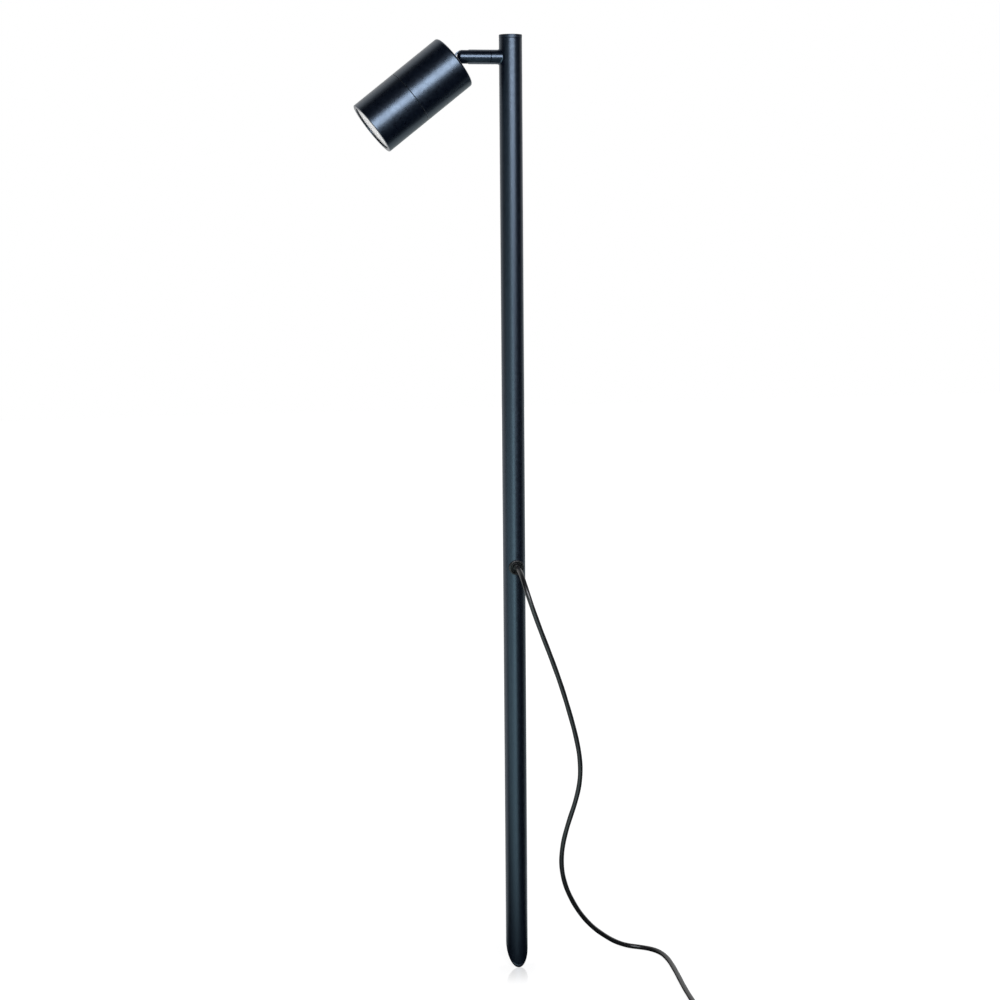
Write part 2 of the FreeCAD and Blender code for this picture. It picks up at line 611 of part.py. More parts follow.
def make_lamp_holder():
    """Ceramic block with two pin sockets, two lead holes and two countersunk fixing holes."""
    body = block(-HOLDER_DEPTH / 2, HOLDER_DEPTH / 2, -HOLDER_WIDTH / 2, HOLDER_WIDTH / 2,
                 HOLDER_BACK, HOLDER_FRONT)
    upright = [e for e in body.Edges if e.BoundBox.ZLength > HOLDER_THICKNESS - 0.1]
    body = body.makeFillet(HOLDER_ROUND, upright)
    top = HOLDER_FRONT + OVERCUT
    bottom = HOLDER_BACK - OVERCUT
    for side in (-1, 1):
        socket = rod(PIN_OD / 2 + PIN_GAP, HOLDER_FRONT - PIN_LENGTH, top, y=side * PIN_PITCH / 2)
        lead = rod(LEAD_OD / 2, bottom, HOLDER_BACK + LEAD_HOLE_DEPTH,
                   y=side * LEAD_HOLDER_SPACING / 2)
        screw_y = side * HOLDER_SCREW_SPACING / 2
        screw = rod(SMALL_SCREW_OD / 2, bottom, top, y=screw_y)
        recess = rod(SMALL_SCREW_HEAD_OD / 2, HOLDER_SCREW_SEAT, top, y=screw_y)
        body = body.cut(socket).cut(lead).cut(screw).cut(recess)
    return along_head(body)


def small_screw(y, under_head, length):
    """Pan-head screw whose shank runs back from the face under its head."""
    top = under_head + SMALL_SCREW_HEAD
    half_width = SMALL_SCREW_SLOT_WIDTH / 2
    half_length = SMALL_SCREW_SLOT_LENGTH / 2
    head = rod(SMALL_SCREW_HEAD_OD / 2, under_head, top, y=y)
    shank = rod(SMALL_SCREW_OD / 2, under_head - length, under_head, y=y)
    slot = block(-half_width, half_width, y - half_length, y + half_length,
                 top - SMALL_SCREW_SLOT_DEPTH, top + OVERCUT)
    return head.fuse(shank).cut(slot).removeSplitter()


def make_holder_screws():
    foot_top = BACK_INSIDE + BRACKET_THICKNESS
    foot_length = BRACKET_THICKNESS + FOOT_SCREW_DEPTH
    seat = HOLDER_SCREW_SEAT
    seat_length = seat - BRACKET_BACK + SMALL_SCREW_PROUD
    screws = [small_screw(y, foot_top, foot_length) for y in foot_screw_places()]
    screws += [small_screw(side * HOLDER_SCREW_SPACING / 2, seat, seat_length) for side in (-1, 1)]
    return group([along_head(s) for s in screws])


def make_head_leads():
    """Two sleeved leads from the stud's bore to the holder's back."""
    start = FLANGE_STAND + STUD_BORE_FLOOR + LEAD_START_GAP
    leads = []
    for side in (-1, 1):
        near = side * LEAD_SPACING / 2
        far = side * LEAD_HOLDER_SPACING / 2
        points = [Vector(0, near, start), Vector(0, near, start + LEAD_STRAIGHT),
                  Vector(0, far, HOLDER_BACK - LEAD_END_STRAIGHT),
                  Vector(0, far, HOLDER_BACK + LEAD_HOLE_DEPTH)]
        path, _ = smooth_path(points)
        leads.append(along_head(swept_cord(path, LEAD_OD / 2)))
    return group(leads)


def make_lamp_body():
    """Reflector lamp: moulded neck and a thin bowl that opens to the rim."""
    neck_end = LAMP_BACK + LAMP_NECK_LENGTH
    rim_start = LAMP_FRONT - LAMP_RIM_HEIGHT
    neck_r = LAMP_NECK_OD / 2
    rim_r = LAMP_OD / 2
    waist = Vector(neck_r + LAMP_WAIST, 0, neck_end)
    bulge = Vector(neck_r + LAMP_BULGE_OUT * (rim_r - neck_r), 0,
                   neck_end + LAMP_BULGE_UP * (rim_start - neck_end))
    rim = Vector(rim_r, 0, rim_start)
    inner_rim = Vector(LAMP_LENS_OD / 2, 0, LAMP_FRONT)
    seat = Vector(LAMP_LENS_OD / 2, 0, LAMP_FRONT - LAMP_LENS_THICKNESS)
    seat_in = Vector(LAMP_LENS_OD / 2 - LAMP_WALL, 0, LAMP_FRONT - LAMP_LENS_THICKNESS)
    bowl_mid = Vector(bulge.x - 1.5 * LAMP_WALL, 0, bulge.z + LAMP_WALL)
    bowl_floor = Vector(neck_r - LAMP_WALL, 0, neck_end + LAMP_WALL)
    edges = [
        Part.LineSegment(Vector(0, 0, LAMP_BACK), Vector(neck_r, 0, LAMP_BACK)).toShape(),
        Part.LineSegment(Vector(neck_r, 0, LAMP_BACK), Vector(neck_r, 0, neck_end)).toShape(),
        Part.LineSegment(Vector(neck_r, 0, neck_end), waist).toShape(),
        Part.Arc(waist, bulge, rim).toShape(),
        Part.LineSegment(rim, Vector(rim_r, 0, LAMP_FRONT)).toShape(),
        Part.LineSegment(Vector(rim_r, 0, LAMP_FRONT), inner_rim).toShape(),
        Part.LineSegment(inner_rim, seat).toShape(),
        Part.LineSegment(seat, seat_in).toShape(),
        Part.Arc(seat_in, bowl_mid, bowl_floor).toShape(),
        Part.LineSegment(bowl_floor, Vector(0, 0, bowl_floor.z)).toShape(),
        Part.LineSegment(Vector(0, 0, bowl_floor.z), Vector(0, 0, LAMP_BACK)).toShape(),
    ]
    body = Part.Face(Part.Wire(edges)).revolve(Vector(), Z_AXIS, 360)
    for side in (-1, 1):
        pin_hole = rod(PIN_OD / 2, LAMP_BACK - OVERCUT, LAMP_BACK + PIN_SEAT,
                       y=side * PIN_PITCH / 2)
        body = body.cut(pin_hole)
    return along_head(body)


def make_lamp_lens():
    return along_head(rod(LAMP_LENS_OD / 2, LAMP_FRONT - LAMP_LENS_THICKNESS, LAMP_FRONT))


def make_lamp_pins():
    pins = []
    for side in (-1, 1):
        pin = rod(PIN_OD / 2, HOLDER_FRONT - PIN_LENGTH + PIN_END_GAP, LAMP_BACK + PIN_SEAT,
                  y=side * PIN_PITCH / 2)
        pins.append(along_head(pin))
    return group(pins)


# ---- bezel ------------------------------------------------------------------------------------

def make_front_bezel():
    """Screw-on tube with an inward lip at the front and a groove for the glass's circlip."""
    groove_start = GLASS_BACK - CIRCLIP_THICKNESS
    groove_r = BEZEL_BORE_R + CIRCLIP_DEPTH
    lip_back = FRONT_AT - BEZEL_LIP
    aperture_r = APERTURE / 2
    body = turned([
        (BEZEL_BORE_R, BEZEL_START), (HEAD_R - EDGE_BREAK, BEZEL_START),
        (HEAD_R, BEZEL_START + EDGE_BREAK), (HEAD_R, FRONT_AT - FRONT_BREAK),
        (HEAD_R - FRONT_BREAK, FRONT_AT), (aperture_r + EDGE_BREAK, FRONT_AT),
        (aperture_r, FRONT_AT - EDGE_BREAK), (aperture_r, lip_back), (BEZEL_BORE_R, lip_back),
        (BEZEL_BORE_R, GLASS_BACK), (groove_r, GLASS_BACK), (groove_r, groove_start),
        (BEZEL_BORE_R, groove_start)])
    return along_head(body)


def make_glass_gasket():
    inner = APERTURE / 2 + GASKET_SET_BACK
    return along_head(tube(GLASS_R, inner, GLASS_FRONT, FRONT_AT - BEZEL_LIP))


def make_front_glass():
    return along_head(turned([
        (0, GLASS_BACK), (GLASS_R - EDGE_BREAK, GLASS_BACK), (GLASS_R, GLASS_BACK + EDGE_BREAK),
        (GLASS_R, GLASS_FRONT - EDGE_BREAK), (GLASS_R - EDGE_BREAK, GLASS_FRONT),
        (0, GLASS_FRONT)]))


def make_glass_circlip():
    """Open spring ring behind the glass, sprung into the bezel's groove."""
    outer = BEZEL_BORE_R + CIRCLIP_DEPTH - CIRCLIP_PLAY
    start = GLASS_BACK - CIRCLIP_THICKNESS
    ring = tube(outer, outer - CIRCLIP_WIDTH, start, GLASS_BACK)
    gap = block(-outer - OVERCUT, 0, -CIRCLIP_GAP / 2, CIRCLIP_GAP / 2,
                start - OVERCUT, GLASS_BACK + OVERCUT)
    return along_head(ring.cut(gap))


# ---- cord -------------------------------------------------------------------------------------

def make_cable_grommet():
    """Rubber grommet: lip inside the wall, neck in the hole, domed flange, moat and nose."""
    flange_r = GROMMET_FLANGE_OD / 2
    nose_r = GROMMET_NOSE_OD / 2
    moat_r = nose_r + GROMMET_MOAT
    top = POLE_R + GROMMET_FLANGE_STAND
    moat_floor = top - GROMMET_MOAT_DEPTH
    shoulder = Vector(flange_r, 0, top - GROMMET_SHOULDER)
    crest = Vector((flange_r + moat_r) / 2, 0, top + GROMMET_CROWN)
    nose_side = Vector(nose_r, 0, NOSE_REACH - 2 * GROMMET_NOSE_ROUND)
    nose_bulge = Vector(nose_r - GROMMET_NOSE_ROUND / 3, 0, NOSE_REACH - GROMMET_NOSE_ROUND)
    nose_top = Vector(CORD_R + GROMMET_MOUTH, 0, NOSE_REACH)
    lines = [Vector(moat_r, 0, top), Vector(moat_r, 0, moat_floor), Vector(nose_r, 0, moat_floor),
             nose_side]
    close = [nose_top, Vector(0, 0, NOSE_REACH), Vector(), Vector(flange_r, 0, 0), shoulder]
    edges = [Part.Arc(shoulder, crest, lines[0]).toShape()]
    edges += [Part.LineSegment(a, b).toShape() for a, b in zip(lines, lines[1:])]
    edges.append(Part.Arc(nose_side, nose_bulge, nose_top).toShape())
    edges += [Part.LineSegment(a, b).toShape() for a, b in zip(close, close[1:])]
    dome = along_grommet(Part.Face(Part.Wire(edges)).revolve(Vector(), Z_AXIS, 360))
    low = GROMMET_HEIGHT - GROMMET_FLANGE_OD
    high = GROMMET_HEIGHT + GROMMET_FLANGE_OD
    dome = dome.cut(rod(POLE_R, low, high))
    lip_start = math.sqrt(POLE_BORE_R ** 2 - (GROMMET_LIP_OD / 2) ** 2) - GROMMET_LIP_THICKNESS
    neck = along_grommet(rod(GROMMET_NECK_OD / 2, lip_start, (POLE_R + moat_floor) / 2))
    lip = along_grommet(rod(GROMMET_LIP_OD / 2, lip_start, POLE_R))
    lip = lip.common(rod(POLE_BORE_R, low, high))
    bore = along_grommet(rod(CORD_R, 0, NOSE_REACH + OVERCUT))
    return dome.fuse([neck, lip]).cut(bore).removeSplitter()


def inner_route():
    """From the grommet's nose, up inside the pole, and over into the boss."""
    place = INNER_CORD_PLACE
    return [Vector(0, -NOSE_REACH, GROMMET_HEIGHT), Vector(0, place, GROMMET_HEIGHT),
            Vector(0, place, GROMMET_HEIGHT + INNER_RISE),
            Vector(place, 0, ARM_HEIGHT - INNER_RISE), Vector(place, 0, ARM_HEIGHT),
            Vector(SWIVEL_CORD_GAP - SPIGOT_INNER_REACH, 0, ARM_HEIGHT)]


def make_inner_cable():
    path, _ = smooth_path(inner_route(), INNER_BEND)
    cable = swept_cord(path, CORD_R)
    report_sweep("inner_cable", cable, path, CORD_R)
    return cable


def make_strain_tie():
    """Cable tie drawn tight round the cord inside the pole, just above the grommet's bend."""
    place = INNER_CORD_PLACE
    low = GROMMET_HEIGHT + STRAIN_TIE_RISE
    high = low + STRAIN_TIE_WIDTH
    outer = CORD_R + STRAIN_TIE_THICKNESS
    band = rod(outer, low, high, y=place)
    lock = block(-TIE_LOCK / 2, TIE_LOCK / 2, place - outer - TIE_LOCK_DEPTH, place, low, high)
    inside = rod(CORD_R, low - OVERCUT, high + OVERCUT, y=place)
    return band.fuse(lock).cut(inside).common(rod(POLE_BORE_R, low - OVERCUT, high + OVERCUT))


def coil_half_turns():
    """End points and levels of the coil's half turns: a spiral in, a climb and a spiral out.

    Each half turn is an arc whose ends lie on the line through the coil's centre along X. The
    radius falls by half a pitch at each until the reversal, which climbs a layer, and then grows
    again. The last half turn comes down outside the others."""
    step = COIL_PITCH / 2
    radii = [COIL_OUTER_RADIUS, COIL_OUTER_RADIUS - step, COIL_OUTER_RADIUS - 2 * step]
    radii += [radii[1], radii[0], radii[0] + step, radii[0] + 2 * step]
    low = COIL_FLOOR
    high = COIL_FLOOR + COIL_PITCH
    levels = [low, low, low, high, high, high, high, low]
    ends = [COIL_OUTER_RADIUS]
    direction = -1
    for radius in radii:
        ends.append(ends[-1] + direction * 2 * radius)
        direction = -direction
    return ends, levels


def coil_path():
    ends, levels = coil_half_turns()
    nodes = [COIL_CENTRE + Vector(x, 0, z) for x, z in zip(ends, levels)]
    start = nodes[0] + Vector(0, CORD_OD, 0)
    edges = [Part.LineSegment(start, nodes[0]).toShape()]
    front = True
    for a, b in zip(nodes, nodes[1:]):
        middle = (a + b) * 0.5
        radius = (b - a).Length / 2
        side = Vector(0, -radius if front else radius, 0)
        edges.append(Part.Arc(a, middle + side, b).toShape())
        front = not front
    end = nodes[-1] + Vector(0, CORD_OD, 0)
    edges.append(Part.LineSegment(nodes[-1], end).toShape())
    return Part.Wire(edges)


def least_self_gap(path, diameter):
    """Smallest clear space between turns, on points along the coil's middle.

    Points less than a quarter of the first turn apart along the cord are next to each other."""
    points = path.discretize(Distance=CORE_OD)
    apart = int(COIL_OUTER_RADIUS * math.pi / 2 / CORE_OD)
    pairs = ((a, b) for i, a in enumerate(points) for b in points[i + apart:])
    return min(a.distanceToPoint(b) for a, b in pairs) - diameter


def make_cable_coil():
    path = coil_path()
    coil = swept_cord(path, CORD_R)
    report_sweep("cable_coil", coil, path, CORD_R)
    print("cable_coil least gap to itself", round(least_self_gap(path, CORD_OD), 2))
    return coil


def make_coil_tie():
    """Flat band drawn round the turns, on the side of the coil that faces the pole.

    There two inner turns lie one on the other, and an outer turn beside the upper one. The turns
    curve inwards across the band's width, so its inner side stands in by as much."""
    step = COIL_PITCH / 2
    inner_turn = COIL_OUTER_RADIUS - step
    outer_turn = COIL_OUTER_RADIUS + step
    half = COIL_TIE_WIDTH / 2
    inmost = math.sqrt((inner_turn - CORD_R) ** 2 - (half + step) ** 2) + CORD_R
    low = COIL_FLOOR
    high = COIL_FLOOR + COIL_PITCH
    corners = [Vector(-half, inmost, low), Vector(-half, inner_turn, low),
               Vector(-half, outer_turn, high), Vector(-half, inmost, high)]
    middles = Part.makePolygon(corners + corners[:1])
    clear = CORD_R + COIL_TIE_GAP
    inside = Part.Face(middles.makeOffset2D(clear))
    outside = Part.Face(middles.makeOffset2D(clear + COIL_TIE_THICKNESS))
    band = outside.cut(inside).extrude(Vector(COIL_TIE_WIDTH, 0, 0))
    band.translate(COIL_CENTRE)
    return band


def core_places():
    """Where the two cores leave the jacket's cut end, on the floor, pointing along +Y."""
    ends, levels = coil_half_turns()
    end = COIL_CENTRE + Vector(ends[-1], CORD_OD, levels[-1])
    offset = CORE_OD / 2 + CORE_GAP / 2
    return [end + Vector(side * offset, 0, 0) for side in (-1, 1)]


def core_path(place, side):
    """A core spreads a little away from the other one."""
    spread = side * CORE_SPREAD
    points = [place, place + Vector(0, CORE_STRAIGHT, 0),
              place + Vector(spread, CORE_LENGTH - CORE_STRAIGHT, 0),
              place + Vector(spread, CORE_LENGTH, 0)]
    path, _ = smooth_path(points)
    return path, points[-1]


def make_lead_cores():
    cores = []
    for place, side in zip(core_places(), (-1, 1)):
        path, _ = core_path(place, side)
        cores.append(swept_cord(path, CORE_OD / 2))
    return group(cores)


def make_core_ferrules():
    """Crimped sleeves: a plastic collar over the core's end and a bare metal pin."""
    ferrules = []
    for place, side in zip(core_places(), (-1, 1)):
        _, end = core_path(place, side)
        collar_start = end - Vector(0, FERRULE_OVERLAP, 0)
        collar = Part.makeCylinder(FERRULE_SLEEVE_OD / 2, FERRULE_SLEEVE_LENGTH, collar_start,
                                   Y_AXIS)
        core_hole = Part.makeCylinder(CORE_OD / 2, FERRULE_OVERLAP, collar_start, Y_AXIS)
        pin = Part.makeCylinder(FERRULE_PIN_OD / 2, FERRULE_PIN_LENGTH,
                                collar_start + Vector(0, FERRULE_SLEEVE_LENGTH, 0), Y_AXIS)
        ferrules.append(collar.cut(core_hole).fuse(pin).removeSplitter())
    return group(ferrules)


def make_supply_cable():
    points = [Vector(*p) for p in CORD_ROUTE]
    path, radii = smooth_path(points)
    cable = swept_cord(path, CORD_R)
    report_sweep("supply_cable", cable, path, CORD_R)
    print("supply_cable bend radii", [round(r, 1) for r in radii])
    return cable


SUB_PARTS = {
    "pole_tube": make_pole_tube,
    "top_cap": make_top_cap,
    "arm_boss": make_arm_boss,
    "swivel_grub_screw": make_swivel_grub_screw,
    "cable_grommet": make_cable_grommet,
    "inner_cable": make_inner_cable,
    "strain_tie": make_strain_tie,
    "supply_cable": make_supply_cable,
    "cable_coil": make_cable_coil,
    "coil_tie": make_coil_tie,
    "lead_cores": make_lead_cores,
    "core_ferrules": make_core_ferrules,
    "arm_rod": make_arm_rod,
    "swivel_oring": make_swivel_oring,
    "pivot_screw": make_pivot_screw,
    "knuckle_washers": make_knuckle_washers,
    "arm_cable": make_arm_cable,
    "tilt_tongue": make_tilt_tongue,
    "stud_gasket": make_stud_gasket,
    "stud_locknut": make_stud_locknut,
    "rear_housing": make_rear_housing,
    "housing_oring": make_housing_oring,
    "holder_bracket": make_holder_bracket,
    "lamp_holder": make_lamp_holder,
    "holder_screws": make_holder_screws,
    "head_leads": make_head_leads,
    "lamp_body": make_lamp_body,
    "lamp_lens": make_lamp_lens,
    "lamp_pins": make_lamp_pins,
    "front_bezel": make_front_bezel,
    "glass_gasket": make_glass_gasket,
    "front_glass": make_front_glass,
    "glass_circlip": make_glass_circlip,
}


def main():
    os.makedirs("parts", exist_ok=True)
    for name, make in SUB_PARTS.items():
        shape = make()
        if not shape.isValid():
            print("not valid:", name)
        print(name, "solids", len(shape.Solids), "volume", round(shape.Volume, 1))
        shape.exportStep("parts/" + name + ".step")


main()
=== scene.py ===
"""Garden spike spotlight: the cord, the small shaped pieces, every finish, and the studio.

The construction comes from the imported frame. This file adds the cord at its real length, the band
round its coil, the head's screw thread, the lamp's patterned lens, the stepped front glass, and
the finishes. Lengths are metres, apart from the cord's route and the camera's place, which are
millimetres, and +Z is up.
"""

import json
import math

import bpy
import numpy as np
from bpy.props import FloatProperty, FloatVectorProperty, IntProperty, PointerProperty
from mathutils import Matrix, Vector


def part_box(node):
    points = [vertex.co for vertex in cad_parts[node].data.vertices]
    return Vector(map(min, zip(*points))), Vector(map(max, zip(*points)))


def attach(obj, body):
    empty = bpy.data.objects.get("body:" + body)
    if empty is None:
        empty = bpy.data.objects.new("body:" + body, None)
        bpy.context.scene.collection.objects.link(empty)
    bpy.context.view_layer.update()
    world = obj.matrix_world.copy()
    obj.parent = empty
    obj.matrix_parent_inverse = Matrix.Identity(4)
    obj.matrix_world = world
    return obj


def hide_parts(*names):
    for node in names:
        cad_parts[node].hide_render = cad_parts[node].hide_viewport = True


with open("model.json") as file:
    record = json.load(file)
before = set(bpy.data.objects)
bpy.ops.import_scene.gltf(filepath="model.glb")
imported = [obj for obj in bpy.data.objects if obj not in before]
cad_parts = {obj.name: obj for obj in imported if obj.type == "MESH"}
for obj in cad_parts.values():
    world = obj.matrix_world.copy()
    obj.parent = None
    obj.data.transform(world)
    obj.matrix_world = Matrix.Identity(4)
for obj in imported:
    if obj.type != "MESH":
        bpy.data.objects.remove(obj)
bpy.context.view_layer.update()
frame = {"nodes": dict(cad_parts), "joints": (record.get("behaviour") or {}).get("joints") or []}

bl_info = {
    "name": "Garden Spike Spotlight",
    "version": (1, 0, 0),
    "blender": (4, 5, 0),
    "location": "3D View > Sidebar > Spike Light",
    "description": "Cord, thread, lamp lens, finishes and studio of a garden spike spotlight",
    "category": "Object",
}

MM = 0.001
JOINTS = {joint["name"]: joint for joint in frame["joints"]}

# The head's axes: forwards, to its side and upwards from the pivot
PIVOT = np.array(JOINTS["head_tilt"]["pos_m"])
HEAD_AXIS = np.array(JOINTS["bezel_off"]["axis"])
HEAD_SIDE = np.array([0.0, 1.0, 0.0])
HEAD_UP = np.cross(HEAD_SIDE, HEAD_AXIS)

# Sizes of the CAD model that the pieces and finishes fit. Places are along the head's axis
POLE_RADIUS = 12.5 * MM
TIP_CUT_SLOPE = math.radians(62.0)
SEAM_PLACE = 69.8 * MM
THREAD_START = 72.9 * MM
THREAD_END = 81.0 * MM
THREAD_ROOT_RADIUS = 28.45 * MM

# The cord's route, in millimetres: out of the grommet, down, and along the floor
CORD_DIAMETER = 5.6
GROMMET_HEIGHT = 469.0
NOSE_REACH = 16.0
FLOOR_HEIGHT = CORD_DIAMETER / 2
COIL_CENTRE = (132.0, -217.0)
COIL_START_RADIUS = 33.6
COIL_PITCH = 6.1
COIL_LOW = 3.45
COIL_START_X = COIL_CENTRE[0] + COIL_START_RADIUS
CORD_ROUTE = [
    (0.0, -NOSE_REACH, GROMMET_HEIGHT), (0.0, -27.0, GROMMET_HEIGHT), (0.5, -38.0, 465.5),
    (1.8, -47.5, 457.5), (4.5, -54.0, 445.5), (9.5, -57.0, 429.0), (18.0, -57.0, 405.0),
    (29.5, -56.0, 375.0), (41.0, -54.0, 343.0), (51.0, -51.0, 311.0), (59.5, -48.0, 281.0),
    (65.0, -45.5, 253.0), (65.5, -43.0, 227.0), (60.5, -40.5, 202.0), (52.5, -38.0, 177.0),
    (46.5, -35.0, 151.0), (45.5, -31.5, 125.0), (51.0, -28.0, 100.0), (61.5, -22.5, 77.0),
    (74.5, -14.0, 56.0), (89.5, -6.0, 38.0), (106.0, 3.0, 23.0), (120.8, 9.6, 11.8),
    (135.8, 12.8, 4.9), (150.6, 10.2, FLOOR_HEIGHT), (162.0, 2.0, FLOOR_HEIGHT),
    (169.5, -10.5, FLOOR_HEIGHT), (172.3, -27.0, FLOOR_HEIGHT), (172.3, -48.0, FLOOR_HEIGHT),
    (170.3, -79.0, FLOOR_HEIGHT), (167.6, -112.0, FLOOR_HEIGHT), (166.1, -145.0, FLOOR_HEIGHT),
    (COIL_START_X, -179.0, COIL_LOW), (COIL_START_X, COIL_CENTRE[1] + CORD_DIAMETER, COIL_LOW),
]

# The photograph's camera, in millimetres and unit vectors
CAMERA_PLACE = (-420.930, -2089.973, 872.828)
CAMERA_RIGHT = (0.98143268, -0.19163433, -0.00813463)
CAMERA_UP = (0.03715777, 0.14834978, 0.98823663)
CAMERA_LOOK = (0.1881733, 0.97019, -0.15271602)
CAMERA_LENS = 69.572
CAMERA_SENSOR = 36.0


# ---- settings ----

class SPIKELIGHT_PG_cord(bpy.types.PropertyGroup):
    """Sizes and colour of the supply cord."""

    sides: IntProperty(name="Sides", description="Faces round the sheath", default=28, min=8)
    ring_step: FloatProperty(
        name="Ring step", description="Distance between rings along the cord", default=0.0014,
        min=0.0005, unit="LENGTH")
    core_swell: FloatProperty(
        name="Core swell", description="How far the two twisted cores show through the sheath",
        default=0.00005, min=0.0, unit="LENGTH")
    lay_length: FloatProperty(
        name="Lay length", description="Length in which the two cores twist once", default=0.06,
        min=0.01, unit="LENGTH")
    colour: FloatVectorProperty(
        name="Sheath colour", description="Colour of the cord's sheath", subtype="COLOR",
        default=(0.0045, 0.0047, 0.0052), min=0.0, max=1.0)


class SPIKELIGHT_PG_coating(bpy.types.PropertyGroup):
    """The satin powder coating of the metal."""

    colour: FloatVectorProperty(
        name="Coating colour", description="Colour of the powder coating", subtype="COLOR",
        default=(0.0006, 0.0016, 0.0052), min=0.0, max=1.0)
    tint: FloatVectorProperty(
        name="Highlight tint", description="Cool cast of the coating's highlights",
        subtype="COLOR", default=(0.61, 0.79, 1.0), min=0.0, max=1.0)
    roughness: FloatProperty(
        name="Roughness", description="Mean roughness of the head's and arm's coating",
        default=0.3, min=0.05, max=1.0, subtype="FACTOR")
    pole_roughness: FloatProperty(
        name="Pole roughness", description="Mean roughness of the pole's coating", default=0.36,
        min=0.05, max=1.0, subtype="FACTOR")
    grain: FloatProperty(
        name="Grain size", description="Size of the coating's fine grain", default=0.0009,
        min=0.0001, unit="LENGTH")
    flow: FloatProperty(
        name="Flow size", description="Size of the long waves in the coating", default=0.004,
        min=0.0005, unit="LENGTH")
    depth: FloatProperty(
        name="Grain depth", description="Height of the grain", default=0.000012, min=0.0,
        unit="LENGTH")


class SPIKELIGHT_PG_head(bpy.types.PropertyGroup):
    """The head's thread, the lamp's lens and the front glass."""

    thread_pitch: FloatProperty(
        name="Thread pitch", description="Pitch of the joint between the head's halves",
        default=0.0015, min=0.0005, unit="LENGTH")
    thread_height: FloatProperty(
        name="Thread height", description="Height of the thread's ridge", default=0.00022, min=0.0,
        unit="LENGTH")
    lens_rings: IntProperty(
        name="Lens rings", description="Rings of small cushions on the lamp's lens", default=11,
        min=2)
    lens_spokes: IntProperty(
        name="Lens spokes", description="Cushions in each ring", default=44, min=6)
    lens_depth: FloatProperty(
        name="Lens depth", description="Depth of the valleys between the cushions", default=0.0003,
        min=0.0, unit="LENGTH")
    glass_step: FloatProperty(
        name="Glass step", description="How far the glass's middle stands up in the opening",
        default=0.0008, min=0.0, unit="LENGTH")
    glass_step_radius: FloatProperty(
        name="Glass step radius", description="Radius of the glass's raised middle",
        default=0.0259, min=0.001, unit="LENGTH")


class SPIKELIGHT_PG_studio(bpy.types.PropertyGroup):
    """Light and floor."""

    key_power: FloatProperty(
        name="Key power", description="Power of the large soft lamp in front", default=35.0,
        min=0.0, unit="POWER")
    key_width: FloatProperty(
        name="Key width", description="Width of the large soft lamp", default=1.55, min=0.1,
        unit="LENGTH")
    key_height: FloatProperty(
        name="Key height", description="Height of the large soft lamp", default=0.75, min=0.1,
        unit="LENGTH")
    key_colour: FloatVectorProperty(
        name="Key colour", description="Colour of the large soft lamp", subtype="COLOR",
        default=(0.92, 0.93, 1.0), min=0.0, max=1.0)
    low_power: FloatProperty(
        name="Low power", description="Power of the lamp that stands on the floor", default=0.4,
        min=0.0, unit="POWER")
    low_colour: FloatVectorProperty(
        name="Low colour", description="Colour of the lamp that stands on the floor",
        subtype="COLOR", default=(0.78, 1.0, 0.96), min=0.0, max=1.0)
    room_level: FloatProperty(
        name="Room level", description="Soft light from all sides", default=0.3, min=0.0)
    front_level: FloatProperty(
        name="Front level", description="Brightness of the room in front, as gloss shows it",
        default=0.004, min=0.0)
    left_level: FloatProperty(
        name="Left level", description="Brightness of the room on the left, as gloss shows it",
        default=0.22, min=0.0)
    backdrop_level: FloatProperty(
        name="Backdrop level", description="Brightness of the backdrop's sides, as gloss shows it",
        default=0.85, min=0.0)
    shadow_share: FloatProperty(
        name="Shadow share", description="Share of the floor's white that shadows darken",
        default=0.25, min=0.0, max=1.0, subtype="FACTOR")
    mirror_share: FloatProperty(
        name="Mirror share", description="Share of the mirror image on the floor at the tip",
        default=0.33, min=0.0, max=1.0, subtype="FACTOR")
    mirror_reach: FloatProperty(
        name="Mirror reach", description="How far from the tip the mirror image fades out",
        default=0.075, min=0.001, unit="LENGTH")


class SPIKELIGHT_PG_settings(bpy.types.PropertyGroup):
    """All settings of the spotlight."""

    cord: PointerProperty(type=SPIKELIGHT_PG_cord)
    coating: PointerProperty(type=SPIKELIGHT_PG_coating)
    head: PointerProperty(type=SPIKELIGHT_PG_head)
    studio: PointerProperty(type=SPIKELIGHT_PG_studio)


# ---- node helpers ----

def add_node(tree, kind, inputs=None, **attributes):
    """New shader node with its attributes set, and its inputs set or linked by name or number."""
    made = tree.nodes.new("ShaderNode" + kind)
    for name, value in attributes.items():
        setattr(made, name, value)
    for name, value in (inputs or {}).items():
        if isinstance(value, bpy.types.NodeSocket):
            tree.links.new(value, made.inputs[name])
        else:
            made.inputs[name].default_value = value
    return made


def math_node(tree, operation, first, second=0.0):
    """Result of one arithmetic step."""
    return add_node(tree, "Math", {0: first, 1: second}, operation=operation).outputs[0]


def ramp(tree, value, start, end, low=0.0, high=1.0):
    """Smooth step from low at the start to high at the end."""
    return add_node(tree, "MapRange", {
        "Value": value, "From Min": start, "From Max": end, "To Min": low, "To Max": high},
        interpolation_type="SMOOTHSTEP").outputs[0]


def dot_product(tree, vector, direction):
    """How far the vector reaches along a direction."""
    return add_node(tree, "VectorMath", {0: vector, 1: tuple(direction)},
                    operation="DOT_PRODUCT").outputs["Value"]


def noise_of_size(tree, vector, size, detail=2.0, roughness=0.5):
    """Noise whose features have this size in metres."""
    return add_node(tree, "TexNoise", {
        "Vector": vector, "Scale": math_node(tree, "DIVIDE", 1.0, size), "Detail": detail,
        "Roughness": roughness}).outputs[0]


